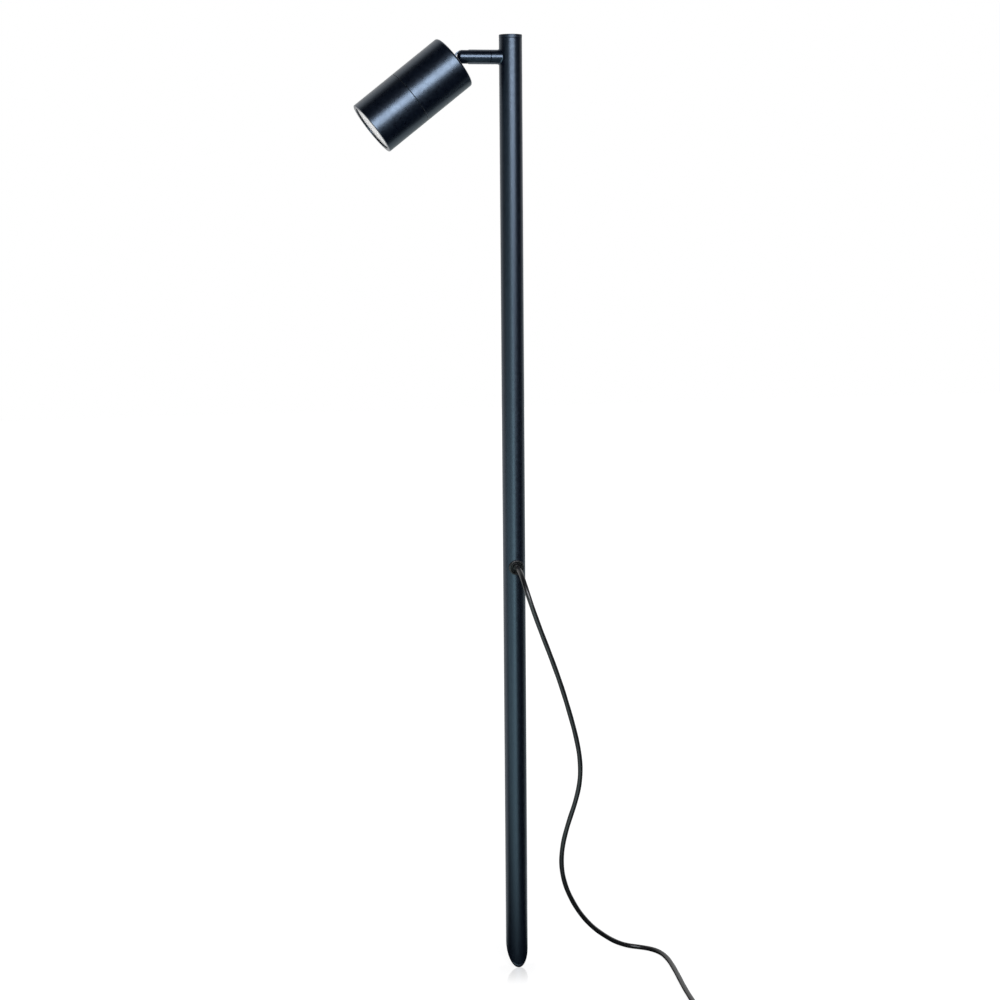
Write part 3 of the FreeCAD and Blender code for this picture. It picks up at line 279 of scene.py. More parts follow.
def blend_colours(tree, mask, low, high):
    """Colour that goes from low to high with the mask. Each is a colour or a socket."""
    ends = [end if isinstance(end, bpy.types.NodeSocket) else (*end, 1.0) for end in (low, high)]
    return add_node(tree, "Mix", {0: mask, 6: ends[0], 7: ends[1]}, data_type="RGBA").outputs[2]


def spread_round(tree, level, spread, noise):
    """Level plus spread times the centred noise."""
    centred = math_node(tree, "SUBTRACT", noise, 0.5)
    return math_node(tree, "ADD", level, math_node(tree, "MULTIPLY", centred, spread))


def new_group(name, inputs, outputs):
    """Empty shader node group. Its inputs have defaults, where None is a vector's, and its
    outputs are numbers."""
    tree = bpy.data.node_groups.new(name, "ShaderNodeTree")
    for label, default in inputs.items():
        kind = "NodeSocketVector" if default is None else "NodeSocketFloat"
        socket = tree.interface.new_socket(label, in_out="INPUT", socket_type=kind)
        if default is not None:
            socket.default_value = default
    for label in outputs:
        tree.interface.new_socket(label, in_out="OUTPUT", socket_type="NodeSocketFloat")
    return tree, tree.nodes.new("NodeGroupInput").outputs, tree.nodes.new("NodeGroupOutput").inputs


def coat_grain_group():
    """Grain of a powder coating or moulded surface: fine grain on long waves.

    Height is grain and waves added; Roughness is Level plus Spread times the centred waves."""
    tree, entry, leave = new_group(
        "coat_grain", {"Vector": None, "Grain": 0.001, "Flow": 0.004, "Level": 0.4, "Spread": 0.1},
        ("Height", "Roughness", "Waves"))
    grain = noise_of_size(tree, entry["Vector"], entry["Grain"], detail=2.5, roughness=0.6)
    waves = noise_of_size(tree, entry["Vector"], entry["Flow"], detail=1.5)
    roughness = spread_round(tree, entry["Level"], entry["Spread"], waves)
    tree.links.new(math_node(tree, "ADD", grain, waves), leave["Height"])
    tree.links.new(roughness, leave["Roughness"])
    tree.links.new(waves, leave["Waves"])
    return tree


def fine_lines_group():
    """Fine lines drawn or turned into a surface: noise that is long one way and short the others.

    Stretch holds how many features there are in a metre each way."""
    tree, entry, leave = new_group(
        "fine_lines", {"Vector": None, "Stretch": None, "Level": 0.3, "Spread": 0.1},
        ("Height", "Roughness"))
    scaled = add_node(tree, "VectorMath", {0: entry["Vector"], 1: entry["Stretch"]},
                      operation="MULTIPLY").outputs[0]
    lines = add_node(tree, "TexNoise", {"Vector": scaled, "Scale": 1.0, "Detail": 3.0}).outputs[0]
    tree.links.new(lines, leave["Height"])
    tree.links.new(spread_round(tree, entry["Level"], entry["Spread"], lines), leave["Roughness"])
    return tree


def shared_group(name):
    """The shared node group of this name, built the first time it is asked for."""
    builders = {"coat_grain": coat_grain_group, "fine_lines": fine_lines_group}
    return bpy.data.node_groups.get(name) or builders[name]()


def empty_tree(owner):
    """Node tree of a new material or world, with nothing in it yet."""
    owner.use_nodes = True
    owner.node_tree.nodes.clear()
    return owner.node_tree


def new_material(name, **constants):
    """Material with one Principled BSDF, whose own sockets hold the constant values.

    Returns the material, its tree, the shader and the Object coordinates."""
    material = bpy.data.materials.new(name)
    tree = empty_tree(material)
    shader = add_node(tree, "BsdfPrincipled", {
        label.replace("_", " "): value for label, value in constants.items()})
    add_node(tree, "OutputMaterial", {"Surface": shader.outputs[0]})
    return material, tree, shader, add_node(tree, "TexCoord").outputs["Object"]


def link_relief(tree, shader, height, depth):
    """Bump of this depth in metres into the shader's normal."""
    bump = add_node(tree, "Bump", {"Height": height, "Strength": 1.0, "Distance": depth})
    tree.links.new(bump.outputs[0], shader.inputs["Normal"])


def add_shared(tree, shader, group, depth, **inputs):
    """A shared group's roughness and relief on the shader. Returns the group's outputs."""
    outputs = add_node(tree, "Group", inputs, node_tree=shared_group(group)).outputs
    tree.links.new(outputs["Roughness"], shader.inputs["Roughness"])
    link_relief(tree, shader, outputs["Height"], depth)
    return outputs


def add_grain(tree, shader, place, grain, flow, level, spread, depth):
    """Moulded or coated grain on roughness and relief. Returns the long waves."""
    return add_shared(tree, shader, "coat_grain", depth, Vector=place, Grain=grain, Flow=flow,
                      Level=level, Spread=spread)["Waves"]


def add_lines(tree, shader, place, stretch, level, spread):
    """Turned or drawn lines on roughness and relief."""
    add_shared(tree, shader, "fine_lines", 0.006 * MM, Vector=place, Stretch=stretch, Level=level,
               Spread=spread)


def paint(tree, shader, mask, low, high):
    """Base colour that goes from low to high with the mask."""
    tree.links.new(blend_colours(tree, mask, low, high), shader.inputs["Base Color"])


def vary_roughness(tree, shader, mask, low, high):
    """Roughness that goes from low to high with the mask."""
    spread = add_node(tree, "MapRange", {"Value": mask, "To Min": low, "To Max": high})
    tree.links.new(spread.outputs[0], shader.inputs["Roughness"])


# ---- finishes ----

# The coating's refractive index, which sets how strong its gloss is, and the cap's extra roughness
POLE_GLOSS = 1.75
HEAD_GLOSS = 1.85
CAP_DULLING = 0.08

# Moulded skins: their CAD nodes; IOR; grain, flow, roughness, its spread, and depth; darkest and
# lightest colour
MOULDED = {
    "moulded_rubber": (
        ("cable_grommet", "swivel_oring", "stud_gasket", "housing_oring", "glass_gasket"),
        1.5, (0.0005, 0.003, 0.24, 0.1, 0.000004),
        (0.0028, 0.0031, 0.0036), (0.0075, 0.008, 0.009)),
    "inner_sheath_pvc": (
        ("inner_cable", "arm_cable"),
        1.48, (0.0006, 0.006, 0.45, 0.2, 0.00001), (0.009, 0.009, 0.010), (0.02, 0.02, 0.021)),
    "black_nylon_moulded": (
        ("strain_tie",),
        1.53, (0.0004, 0.004, 0.38, 0.2, 0.00001), (0.007, 0.007, 0.008), (0.016, 0.016, 0.018)),
    "white_nylon_moulded": (
        ("knuckle_washers",),
        1.53, (0.0004, 0.004, 0.38, 0.2, 0.00001), (0.6, 0.59, 0.55), (0.72, 0.71, 0.68)),
    "white_ceramic_body": (
        ("lamp_holder",),
        1.5, (0.0004, 0.003, 0.6, 0.2, 0.00003), (0.62, 0.6, 0.55), (0.75, 0.73, 0.68)),
}
# Bare metals: their CAD nodes; lines in a metre each way; roughness; darkest and lightest colour
BARE_METAL = {
    "stainless_turned": (
        ("pivot_screw", "holder_screws", "glass_circlip"),
        (900.0, 900.0, 6000.0), 0.3, (0.5, 0.5, 0.49), (0.64, 0.63, 0.61)),
    "stainless_rolled": (
        ("holder_bracket",),
        (400.0, 5000.0, 400.0), 0.34, (0.52, 0.52, 0.51), (0.6, 0.6, 0.58)),
    "blackened_steel": (
        ("swivel_grub_screw",),
        (1200.0, 1200.0, 5000.0), 0.42, (0.02, 0.02, 0.022), (0.05, 0.05, 0.052)),
    "brass_turned": (
        ("stud_locknut",),
        (1500.0, 1500.0, 4000.0), 0.28, (0.56, 0.39, 0.15), (0.7, 0.5, 0.22)),
    "tinned_pins": (
        ("lamp_pins",),
        (3000.0, 3000.0, 600.0), 0.25, (0.55, 0.54, 0.52), (0.68, 0.67, 0.64)),
}


def moulded_finish(name, ior, grain, low, high):
    """Moulded rubber, nylon, PVC or ceramic: fine grain on soft waves, which change its tone."""
    material, tree, shader, place = new_material(name, IOR=ior)
    paint(tree, shader, add_grain(tree, shader, place, *grain), low, high)
    return material


def metal_finish(name, stretch, level, low, high):
    """Bare metal with turned or rolled lines and slight changes of tone."""
    material, tree, shader, place = new_material(name, Metallic=1.0)
    add_lines(tree, shader, place, stretch, level, spread=0.18)
    paint(tree, shader, noise_of_size(tree, place, 8 * MM), low, high)
    return material


def coating_finish(name, settings, roughness, ior=HEAD_GLOSS):
    """Satin black powder coating: near-black with cool highlights, fine grain and soft waves."""
    material, tree, shader, place = new_material(name, IOR=ior, Specular_Tint=(*settings.tint, 1))
    waves = add_grain(tree, shader, place, settings.grain, settings.flow, roughness, spread=0.16,
                      depth=settings.depth)
    dark, light = ([share * c for c in settings.colour] for share in (0.7, 1.3))
    paint(tree, shader, waves, dark, light)
    return material


def coating_nodes(material):
    """Tree, shader and Object coordinates of a material that is made already."""
    nodes = {node.type: node for node in material.node_tree.nodes}
    return material.node_tree, nodes["BSDF_PRINCIPLED"], nodes["TEX_COORD"].outputs["Object"]


def add_cut_bead(material, start, top, end, height):
    """Bead that filing leaves along the tip's slanted cut, under the coating.

    It follows the distance from the cut's plane, z cos a - (y + R) sin a, where a is the cut's
    slope and R the pole's radius: up from start to top, and down again to end."""
    tree, shader, place = coating_nodes(material)
    square = (0.0, -math.sin(TIP_CUT_SLOPE), math.cos(TIP_CUT_SLOPE))
    distance = math_node(tree, "SUBTRACT", dot_product(tree, place, square),
                         POLE_RADIUS * math.sin(TIP_CUT_SLOPE))
    bead = math_node(tree, "ADD", ramp(tree, distance, start, top),
                     ramp(tree, distance, top, end, 0.0, -1.0))
    bump = add_node(tree, "Bump", {
        "Height": bead, "Distance": height,
        "Normal": shader.inputs["Normal"].links[0].from_socket})
    tree.links.new(bump.outputs[0], shader.inputs["Normal"])


def add_painted_seam_highlight(material, width, colour):
    """Thin lighter line painted on the bezel's back edge: a painted highlight along the seam's
    edge.
    """
    tree, shader, place = coating_nodes(material)
    along = math_node(tree, "SUBTRACT", dot_product(tree, place, HEAD_AXIS),
                      float(np.dot(PIVOT, HEAD_AXIS)) + SEAM_PLACE)
    # Mask of the painted highlight: a band at the seam, where the colour turns lighter
    seam_highlight_mask = ramp(tree, along, width, 1.5 * width, 1.0, 0.0)
    paint(tree, shader, seam_highlight_mask, shader.inputs["Base Color"].links[0].from_socket, colour)


def sheath_finish(settings):
    """PVC sheath: near-black, drawn lines along the cord, and a faint scuffed bloom."""
    material, tree, shader, place = new_material("cord_sheath_pvc", IOR=1.54)
    along = add_node(tree, "UVMap", uv_map="along_and_round").outputs[0]
    add_lines(tree, shader, along, stretch=(60.0, 40.0, 1.0), level=0.3, spread=0.16)
    bloom = noise_of_size(tree, place, 12 * MM, detail=3.0)
    paint(tree, shader, bloom, settings.colour, [2.0 * c for c in settings.colour])
    return material


def webbing_finish():
    """Woven black band: warp ribs along it, crossed by finer weft."""
    material, tree, shader, place = new_material(
        "band_webbing", IOR=1.5, Roughness=0.8, Sheen_Weight=0.25)
    weave = add_node(tree, "UVMap", uv_map="along_and_round").outputs[0]
    warp, weft = (add_node(tree, "TexWave", {"Vector": weave, "Scale": scale},
                           wave_type="BANDS", bands_direction=way).outputs["Fac"]
                  for scale, way in ((640.0, "Y"), (420.0, "X")))
    link_relief(tree, shader, math_node(tree, "MULTIPLY", warp, weft), 0.12 * MM)
    lint = noise_of_size(tree, place, 1.5 * MM, detail=3.0)
    paint(tree, shader, lint, (0.008, 0.008, 0.009), (0.022, 0.022, 0.024))
    return material


def sleeve_finish():
    """Braided heat-proof sleeving, off-white."""
    material, tree, shader, place = new_material("glass_braid_sleeve", IOR=1.45, Roughness=0.7)
    braid = add_node(tree, "TexVoronoi", {"Vector": place, "Scale": 2400.0}).outputs["Distance"]
    link_relief(tree, shader, braid, 0.12 * MM)
    paint(tree, shader, braid, (0.7, 0.68, 0.6), (0.45, 0.43, 0.38))
    return material


def half_mask(tree, place, node, axis):
    """0 in the near half of a CAD node's box along this axis, and 1 past its middle."""
    low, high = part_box(node)
    parts = add_node(tree, "SeparateXYZ", {0: place}).outputs
    return math_node(tree, "GREATER_THAN", parts[axis], (low[axis] + high[axis]) / 2)


def core_finish():
    """Brown and blue core insulation, told apart by their X at the cord's end."""
    material, tree, shader, place = new_material("core_insulation_pvc", IOR=1.5)
    add_grain(tree, shader, place, grain=0.5 * MM, flow=4 * MM, level=0.38, spread=0.15,
              depth=0.006 * MM)
    mask = half_mask(tree, place, "lead_cores", 0)
    paint(tree, shader, mask, (0.075, 0.026, 0.012), (0.012, 0.045, 0.22))
    return material


def ferrule_finish():
    """Grey plastic collar on the first half of a ferrule's length, and past it a tinned pin."""
    material, tree, shader, place = new_material("crimped_ferrule", IOR=1.5)
    add_grain(tree, shader, place, grain=0.4 * MM, flow=3 * MM, level=0.36, spread=0.15,
              depth=0.008 * MM)
    mask = half_mask(tree, place, "core_ferrules", 1)
    tree.links.new(mask, shader.inputs["Metallic"])
    paint(tree, shader, mask, (0.3, 0.31, 0.32), (0.7, 0.68, 0.65))
    return material


def reflector_finish(spokes, ring_width=3.4 * MM):
    """Bright aluminised bowl with pressed facets round the lamp's axis.

    A facet's height is |sin| of the angle times |sin| of the place along the axis."""
    material, tree, shader, place = new_material(
        "aluminised_bowl", Metallic=1.0, Base_Color=(0.78, 0.78, 0.79, 1.0))
    turned = add_node(tree, "Mapping", {
        "Vector": place, "Location": tuple(-PIVOT)}, vector_type="POINT").outputs[0]
    angle = math_node(tree, "ARCTAN2", dot_product(tree, turned, HEAD_SIDE),
                      dot_product(tree, turned, HEAD_UP))
    along = dot_product(tree, turned, HEAD_AXIS)
    round_wave, ring_wave = (
        math_node(tree, "ABSOLUTE", math_node(
            tree, "SINE", math_node(tree, "MULTIPLY", value, rate)))
        for value, rate in ((angle, spokes / 2), (along, math.pi / ring_width)))
    link_relief(tree, shader, math_node(tree, "MULTIPLY", round_wave, ring_wave), 0.4 * MM)
    vary_roughness(tree, shader, noise_of_size(tree, place, 6 * MM), 0.1, 0.24)
    return material


def glass_finish(name, ior, transmission, tone_size, detail, low, roughness):
    """Glass whose tone and haze change a little over it, from the low colour to clear."""
    material, tree, shader, place = new_material(name, IOR=ior, Transmission_Weight=transmission)
    tone = noise_of_size(tree, place, tone_size, detail)
    paint(tree, shader, tone, low, (1.0, 1.0, 1.0))
    vary_roughness(tree, shader, tone, *roughness)
    return material


def lens_finish():
    """Pressed glass of the lamp's lens, faintly milky."""
    return glass_finish("pressed_lens_glass", ior=1.5, transmission=0.4, tone_size=10 * MM,
                        detail=1.0, low=(0.9, 0.92, 0.93), roughness=(0.05, 0.12))


def front_glass_finish():
    """Toughened front glass with a breath of haze."""
    return glass_finish("toughened_front_glass", ior=1.52, transmission=1.0, tone_size=14 * MM,
                        detail=2.0, low=(0.96, 0.985, 0.98), roughness=(0.0, 0.03))


def give(material, *names):
    """Put this finish on CAD nodes."""
    for name in names:
        slots = frame["nodes"][name].data.materials
        slots.clear()
        slots.append(material)


# ---- surfaces ----

def add_object(name, data):
    """New object that holds this data, at the origin of the scene."""
    made = bpy.data.objects.new(name, data)
    bpy.context.scene.collection.objects.link(made)
    return made


def mesh_from_rows(name, points, wrap_rows=False, along=None):
    """Closed mesh over an array of rows x columns x 3 points, whose columns close on themselves
    and whose ends are capped where its rows don't wrap.

    along gives each row's distance, for a UV map whose other axis goes once round the columns."""
    rows, columns = points.shape[:2]
    row, column = np.meshgrid(np.arange(rows if wrap_rows else rows - 1), np.arange(columns),
                              indexing="ij")
    row = np.stack([row, row, row + 1, row + 1], axis=-1).reshape(-1, 4)
    column = np.stack([column, column + 1, column + 1, column], axis=-1).reshape(-1, 4)
    faces = (row % rows * columns + column % columns).tolist()
    if not wrap_rows:
        cap = np.arange(columns)
        faces += [cap[::-1].tolist(), ((rows - 1) * columns + cap).tolist()]
    mesh = bpy.data.meshes.new(name)
    mesh.from_pydata(points.reshape(-1, 3).tolist(), [], faces)
    if along is not None:
        values = np.zeros((len(mesh.loops), 2), np.float32)
        values[:row.size] = np.stack([along[row], column / columns], axis=-1).reshape(-1, 2)
        mesh.uv_layers.new(name="along_and_round").data.foreach_set("uv", values.ravel())
    mesh.validate()
    mesh.shade_smooth()
    mesh.set_sharp_from_angle(angle=math.radians(50))
    return add_object(name, mesh)


def smoothstep(low, high, value):
    """0 below low, 1 above high, and a smooth cubic between."""
    share = np.clip((value - low) / (high - low), 0.0, 1.0)
    return share * share * (3.0 - 2.0 * share)


def unit(vectors):
    """Each vector over its own length."""
    return vectors / np.linalg.norm(vectors, axis=-1, keepdims=True)


def full_turn(count):
    """Angles of this many even steps round a circle, in radians."""
    return np.linspace(0.0, 2 * math.pi, count, endpoint=False)


def head_points(axial, radius, angle):
    """Points by their distance along the head's axis, distance from it and angle round it."""
    axial, radius, angle = np.broadcast_arrays(axial, radius, angle)
    radial = (np.multiply.outer(np.cos(angle), HEAD_UP)
              + np.multiply.outer(np.sin(angle), HEAD_SIDE))
    return PIVOT + np.multiply.outer(axial, HEAD_AXIS) + radius[..., None] * radial


# ---- cord ----

def coil_points(per_half_turn=12):
    """Control points of the coil, in millimetres.

    Each half turn is an arc between two points on the coil's X axis. Its height goes from the one
    end's level to the other's with the place along X. The radius is drawn out a little, because
    the curve cuts inside its control points by the cosine of half the angle between them."""
    radii = COIL_START_RADIUS + COIL_PITCH / 2 * np.array([0, -1, -2, -1, 0, 1, 2])
    levels = COIL_LOW + COIL_PITCH * np.array([0, 0, 0, 1, 1, 1, 1, 0])
    draw_out = 1 / math.cos(math.pi / per_half_turn / 2)
    angle = np.arange(per_half_turn) * math.pi / per_half_turn
    share = (1 - np.cos(angle)) / 2
    points = []
    end = COIL_START_RADIUS
    side = -1
    for radius, level, next_level in zip(radii, levels, levels[1:]):
        middle = end + side * radius
        x = COIL_CENTRE[0] + middle - side * radius * draw_out * np.cos(angle)
        y = COIL_CENTRE[1] + side * radius * draw_out * np.sin(angle)
        z = level + (next_level - level) * share
        points += np.stack([x, y, z], axis=1).tolist()
        end += 2 * side * radius
        side = -side
    tail = COIL_CENTRE[0] + end
    return points + [[tail, COIL_CENTRE[1], COIL_LOW],
                     [tail, COIL_CENTRE[1] + CORD_DIAMETER, COIL_LOW]]


def cord_line():
    """The cord's middle line: points along one smooth spline through the route and the coil."""
    points = np.array(CORD_ROUTE + [tuple(p) for p in coil_points()]) * MM
    curve = bpy.data.curves.new("cord_line", "CURVE")
    curve.dimensions = "3D"
    curve.resolution_u = 12
    spline = curve.splines.new("NURBS")
    spline.points.add(len(points) - 1)
    spline.points.foreach_set("co", np.column_stack([points, np.ones(len(points))]).ravel())
    spline.order_u = 3
    spline.use_endpoint_u = True
    holder = add_object("cord_line", curve)
    bpy.context.view_layer.update()
    line = bpy.data.meshes.new_from_object(holder)
    read = np.zeros(len(line.vertices) * 3)
    line.vertices.foreach_get("co", read)
    bpy.data.objects.remove(holder)
    bpy.data.curves.remove(curve)
    bpy.data.meshes.remove(line)
    return read.reshape(-1, 3)


def evenly(line, step):
    """The line's points again, this far apart, with their distances from its start."""
    lengths = np.append(0.0, np.cumsum(np.linalg.norm(np.diff(line, axis=0), axis=1)))
    along = np.linspace(0.0, lengths[-1], int(lengths[-1] / step) + 1)
    return np.stack([np.interp(along, lengths, line[:, i]) for i in range(3)], axis=1), along


def cord_surface(line, along, settings, turning=(0.01, 0.11)):
    """Round tube along the line, faintly swollen by the two twisted cores.

    A ring's first axis is square to the cord and to an axis that turns, between two heights, from
    Z, down on the floor, to X, up by the pole. The radius is R - s + s cos 2(angle - twist), where
    the twist is the distance along the cord over the lay length, in turns."""
    tangent = unit(np.gradient(line, axis=0))
    lean = smoothstep(*turning, line[:, 2])[:, None]
    guide = lean * (1.0, 0.0, 0.0) + (1 - lean) * (0.0, 0.0, 1.0)
    across = unit(np.cross(tangent, guide))
    other = np.cross(tangent, across)
    angle = full_turn(settings.sides)
    twist = 2 * math.pi * along / settings.lay_length
    swell = settings.core_swell * (np.cos(2 * (angle - twist[:, None])) - 1)
    radius = (CORD_DIAMETER / 2 * MM + swell)[..., None]
    outward = np.cos(angle)[:, None] * across[:, None] + np.sin(angle)[:, None] * other[:, None]
    return line[:, None] + radius * outward


class SPIKELIGHT_OT_cord(bpy.types.Operator):
    """Supply cord from the grommet to its coil"""

    bl_idname = "spikelight.cord"
    bl_label = "Supply Cord"

    def execute(self, context):
        settings = context.scene.spikelight.cord
        line, along = evenly(cord_line(), settings.ring_step)
        points = cord_surface(line, along, settings)
        cord = mesh_from_rows("garden_cord", points, along=along)
        cord.data.materials.append(sheath_finish(settings))
        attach(cord, "pole")
        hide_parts("supply_cable", "cable_coil")
        give(core_finish(), "lead_cores")
        give(ferrule_finish(), "core_ferrules")
        return {"FINISHED"}


# ---- band round the coil ----

BAND_THICKNESS = 0.6 * MM
BAND_GAP = 0.05 * MM


def rounded_outline(corners, radius, steps=8):
    """Closed outline at this distance round a convex polygon: an arc at each corner.

    Each arc turns from the outward normal of the side before its corner to that of the side after
    it. Corners are counter-clockwise."""
    corners = np.array(corners)
    sides = np.roll(corners, -1, axis=0) - corners
    heading = np.arctan2(-sides[:, 0], sides[:, 1])
    parts = []
    for corner, before, after in zip(corners, np.roll(heading, 1), heading):
        turn = (after - before) % (2 * math.pi)
        angle = before + turn * np.linspace(0.0, 1.0, steps)
        parts.append(corner + radius * np.stack([np.cos(angle), np.sin(angle)], axis=1))
    return np.concatenate(parts)


def band_surface(outline, width, middle_x, sides=24):
    """Flat band with rounded edges along a closed outline in the YZ plane.

    Its section is a super-ellipse: the width times a rounded cosine across, the thickness times a
    rounded sine outwards."""
    ahead = unit(np.roll(outline, -1, axis=0) - np.roll(outline, 1, axis=0))
    outward = np.stack([ahead[:, 1], -ahead[:, 0]], axis=1)
    cosine, sine = np.cos(full_turn(sides)), np.sin(full_turn(sides))
    across = width / 2 * np.sign(cosine) * np.abs(cosine) ** 0.35
    out = BAND_THICKNESS / 2 * np.sign(sine) * np.abs(sine) ** 0.6
    flat = outline[:, None, :] + out[None, :, None] * outward[:, None, :]
    x = np.broadcast_to(middle_x + across, flat.shape[:2])
    return np.concatenate([x[..., None], flat], axis=2)


class SPIKELIGHT_OT_coil_band(bpy.types.Operator):
    """Woven band round the coil's turns"""

    bl_idname = "spikelight.coil_band"
    bl_label = "Coil Band"

    def execute(self, context):
        low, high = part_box("coil_tie")
        reach = CORD_DIAMETER / 2 * MM + BAND_GAP + BAND_THICKNESS / 2
        inset = reach + BAND_THICKNESS / 2
        inmost, outer = low.y + inset, high.y - inset
        bottom, top = low.z + inset, high.z - inset
        inner_turn = outer - COIL_PITCH * MM
        outline = rounded_outline(
            [(inmost, bottom), (inner_turn, bottom), (outer, top), (inmost, top)], reach)
        points = band_surface(outline, high.x - low.x, (low.x + high.x) / 2)
        steps = np.linalg.norm(np.roll(outline, -1, axis=0) - outline, axis=1)
        band = mesh_from_rows("coil_band", points, wrap_rows=True,
                              along=np.append(0.0, np.cumsum(steps)))
        band.data.materials.append(webbing_finish())
        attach(band, "pole")
        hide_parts("coil_tie")
        return {"FINISHED"}


# ---- head ----

def thread_surface(settings, sink=0.1 * MM, steps_per_turn=120):
    """Helical ridge: a rounded profile carried round the head's axis, its foot sunk in the spigot.

    The axial place grows by the pitch each turn. The ridge's height fades in and out over the
    first and last third of a turn, as where a thread runs out."""
    pitch = settings.thread_pitch
    half_width = 0.36 * pitch
    turns = (THREAD_END - THREAD_START) / pitch
    angle = np.linspace(0.0, 2 * math.pi * turns, int(turns * steps_per_turn))[:, None]
    third = 2 * math.pi / 3
    fade = smoothstep(0.0, third, angle) * smoothstep(0.0, third, angle[-1] - angle)
    profile = full_turn(12)
    rise = np.maximum(np.cos(profile), 0.0) ** 0.6
    out = fade * settings.thread_height * rise - sink * (rise == 0)
    axial = THREAD_START + pitch * angle / (2 * math.pi) + half_width * np.sin(profile)
    return head_points(axial, THREAD_ROOT_RADIUS + out, angle)


class SPIKELIGHT_OT_head_thread(bpy.types.Operator):
    """Screw thread on the rear housing's spigot, which the bezel turns on"""

    bl_idname = "spikelight.head_thread"
    bl_label = "Head Thread"

    def execute(self, context):
        coating = context.scene.spikelight.coating
        thread = mesh_from_rows("housing_thread", thread_surface(context.scene.spikelight.head))
        thread.data.materials.append(coating_finish("coated_thread", coating, coating.roughness))
        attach(thread, "head")
        return {"FINISHED"}


def disc_size(name):
    """Radius, back and front of a CAD disc that lies square to the head's axis."""
    low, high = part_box(name)
    radius = (high.y - low.y) / 2
    thickness = (high.x - low.x - 2 * radius * abs(HEAD_AXIS[2])) / abs(HEAD_AXIS[0])
    middle = np.dot(np.array((low + high) / 2) - PIVOT, HEAD_AXIS)
    return radius, middle - thickness / 2, middle + thickness / 2


def lens_rows(settings, radius, back, front):
    """Disc with a front of small cushions and a flat back, as rows from the front's middle out,
    over the rim and back to the middle.

    A cushion's height is |sin| along the radius times |sin| round it. Both fade out at the rim,
    which stands as high as the cushions, and at the middle."""
    centre, cushions_end, rim_start = 0.004, 0.95, 0.965
    angle = full_turn(settings.lens_spokes * 8)
    share = np.linspace(centre, rim_start, settings.lens_rings * 8)
    ring_wave = np.abs(np.sin(math.pi * settings.lens_rings * share))
    round_wave = np.abs(np.sin(settings.lens_spokes / 2 * angle))
    fade = smoothstep(0.1, 0.3, share) * smoothstep(0.0, 0.04, rim_start - share)
    cushions = front - settings.lens_depth * (1 - (fade * ring_wave)[:, None] * round_wave)
    cushions[share > cushions_end] = front
    rim = np.array([(0.985, front), (1.0, front - 0.4 * MM), (1.0, back + 0.3 * MM),
                    (0.985, back), (0.5, back), (centre, back)])
    axial = np.concatenate([cushions, np.repeat(rim[:, 1:], len(angle), axis=1)])
    radii = radius * np.concatenate([share, rim[:, 0]])
    return head_points(axial, radii[:, None], angle)


def rounded_edge(radius, front, size=0.25 * MM, steps=5):
    """Profile of a disc's front edge: a point on the flat, then a quarter round down its side."""
    angle = np.linspace(0.0, math.pi / 2, steps)
    curve = np.stack([radius - size + size * np.sin(angle),
                      front - size + size * np.cos(angle)], axis=1)
    return np.concatenate([[[radius - 1.6 * size, front]], curve])


def glass_rows(settings, radius, back, front):
    """Stepped disc: its raised middle stands in the bezel's opening, its flange behind the lip.

    A profile of (radius, place along the axis) turned round the head's axis. Its back edge is its
    front edge mirrored."""
    step_radius, top = settings.glass_step_radius, front + settings.glass_step
    foot = [[step_radius, front + 0.2 * MM], [step_radius, front], [step_radius + 0.3 * MM, front]]
    back_edge = rounded_edge(radius, -back)[::-1] * (1, -1)
    profile = np.concatenate([
        [[step_radius / 2, top]], rounded_edge(step_radius, top), foot,
        rounded_edge(radius, front), back_edge, [[step_radius / 2, back]]])
    return head_points(profile[:, 1:], profile[:, :1], full_turn(160))


class SPIKELIGHT_OT_front_glass(bpy.types.Operator):
    """Stepped front glass in the bezel"""

    bl_idname = "spikelight.front_glass"
    bl_label = "Front Glass"

    def execute(self, context):
        points = glass_rows(context.scene.spikelight.head, *disc_size("front_glass"))
        glass = mesh_from_rows("stepped_front_glass", points[:, ::-1])
        glass.data.materials.append(front_glass_finish())
        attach(glass, "bezel")
        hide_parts("front_glass")
        return {"FINISHED"}


class SPIKELIGHT_OT_lamp_lens(bpy.types.Operator):
    """Patterned lens in front of the lamp's bowl"""

    bl_idname = "spikelight.lamp_lens"
    bl_label = "Lamp Lens"

    def execute(self, context):
        settings = context.scene.spikelight.head
        points = lens_rows(settings, *disc_size("lamp_lens"))
        lens = mesh_from_rows("lamp_front_lens", points[:, ::-1])
        lens.data.materials.append(lens_finish())
        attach(lens, "head")
        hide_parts("lamp_lens")
        give(reflector_finish(settings.lens_spokes), "lamp_body")
        return {"FINISHED"}


# ---- finishes on the CAD pieces ----

class SPIKELIGHT_OT_coated_metal(bpy.types.Operator):
    """Powder coating on the pole, arm and head"""

    bl_idname = "spikelight.coated_metal"
    bl_label = "Coated Metal"

    def execute(self, context):
        coating = context.scene.spikelight.coating
        dull = coating.pole_roughness + CAP_DULLING
        pole = coating_finish("coated_steel_satin", coating, coating.pole_roughness, POLE_GLOSS)
        add_cut_bead(pole, start=0.3 * MM, top=0.9 * MM, end=1.6 * MM, height=0.25 * MM)
        give(pole, "pole_tube")
        give(coating_finish("coated_cap_dull", coating, dull, POLE_GLOSS), "top_cap")
        give(coating_finish("coated_aluminium_satin", coating, coating.roughness), "arm_boss",
             "arm_rod", "tilt_tongue", "rear_housing")
        bezel = coating_finish("coated_bezel_satin", coating, coating.roughness)
        # Painted highlight: a thin lighter line of colour on the bezel's back edge, at the seam
        add_painted_seam_highlight(bezel, width=0.4 * MM, colour=(0.022, 0.024, 0.026))
        give(bezel, "front_bezel")
        return {"FINISHED"}


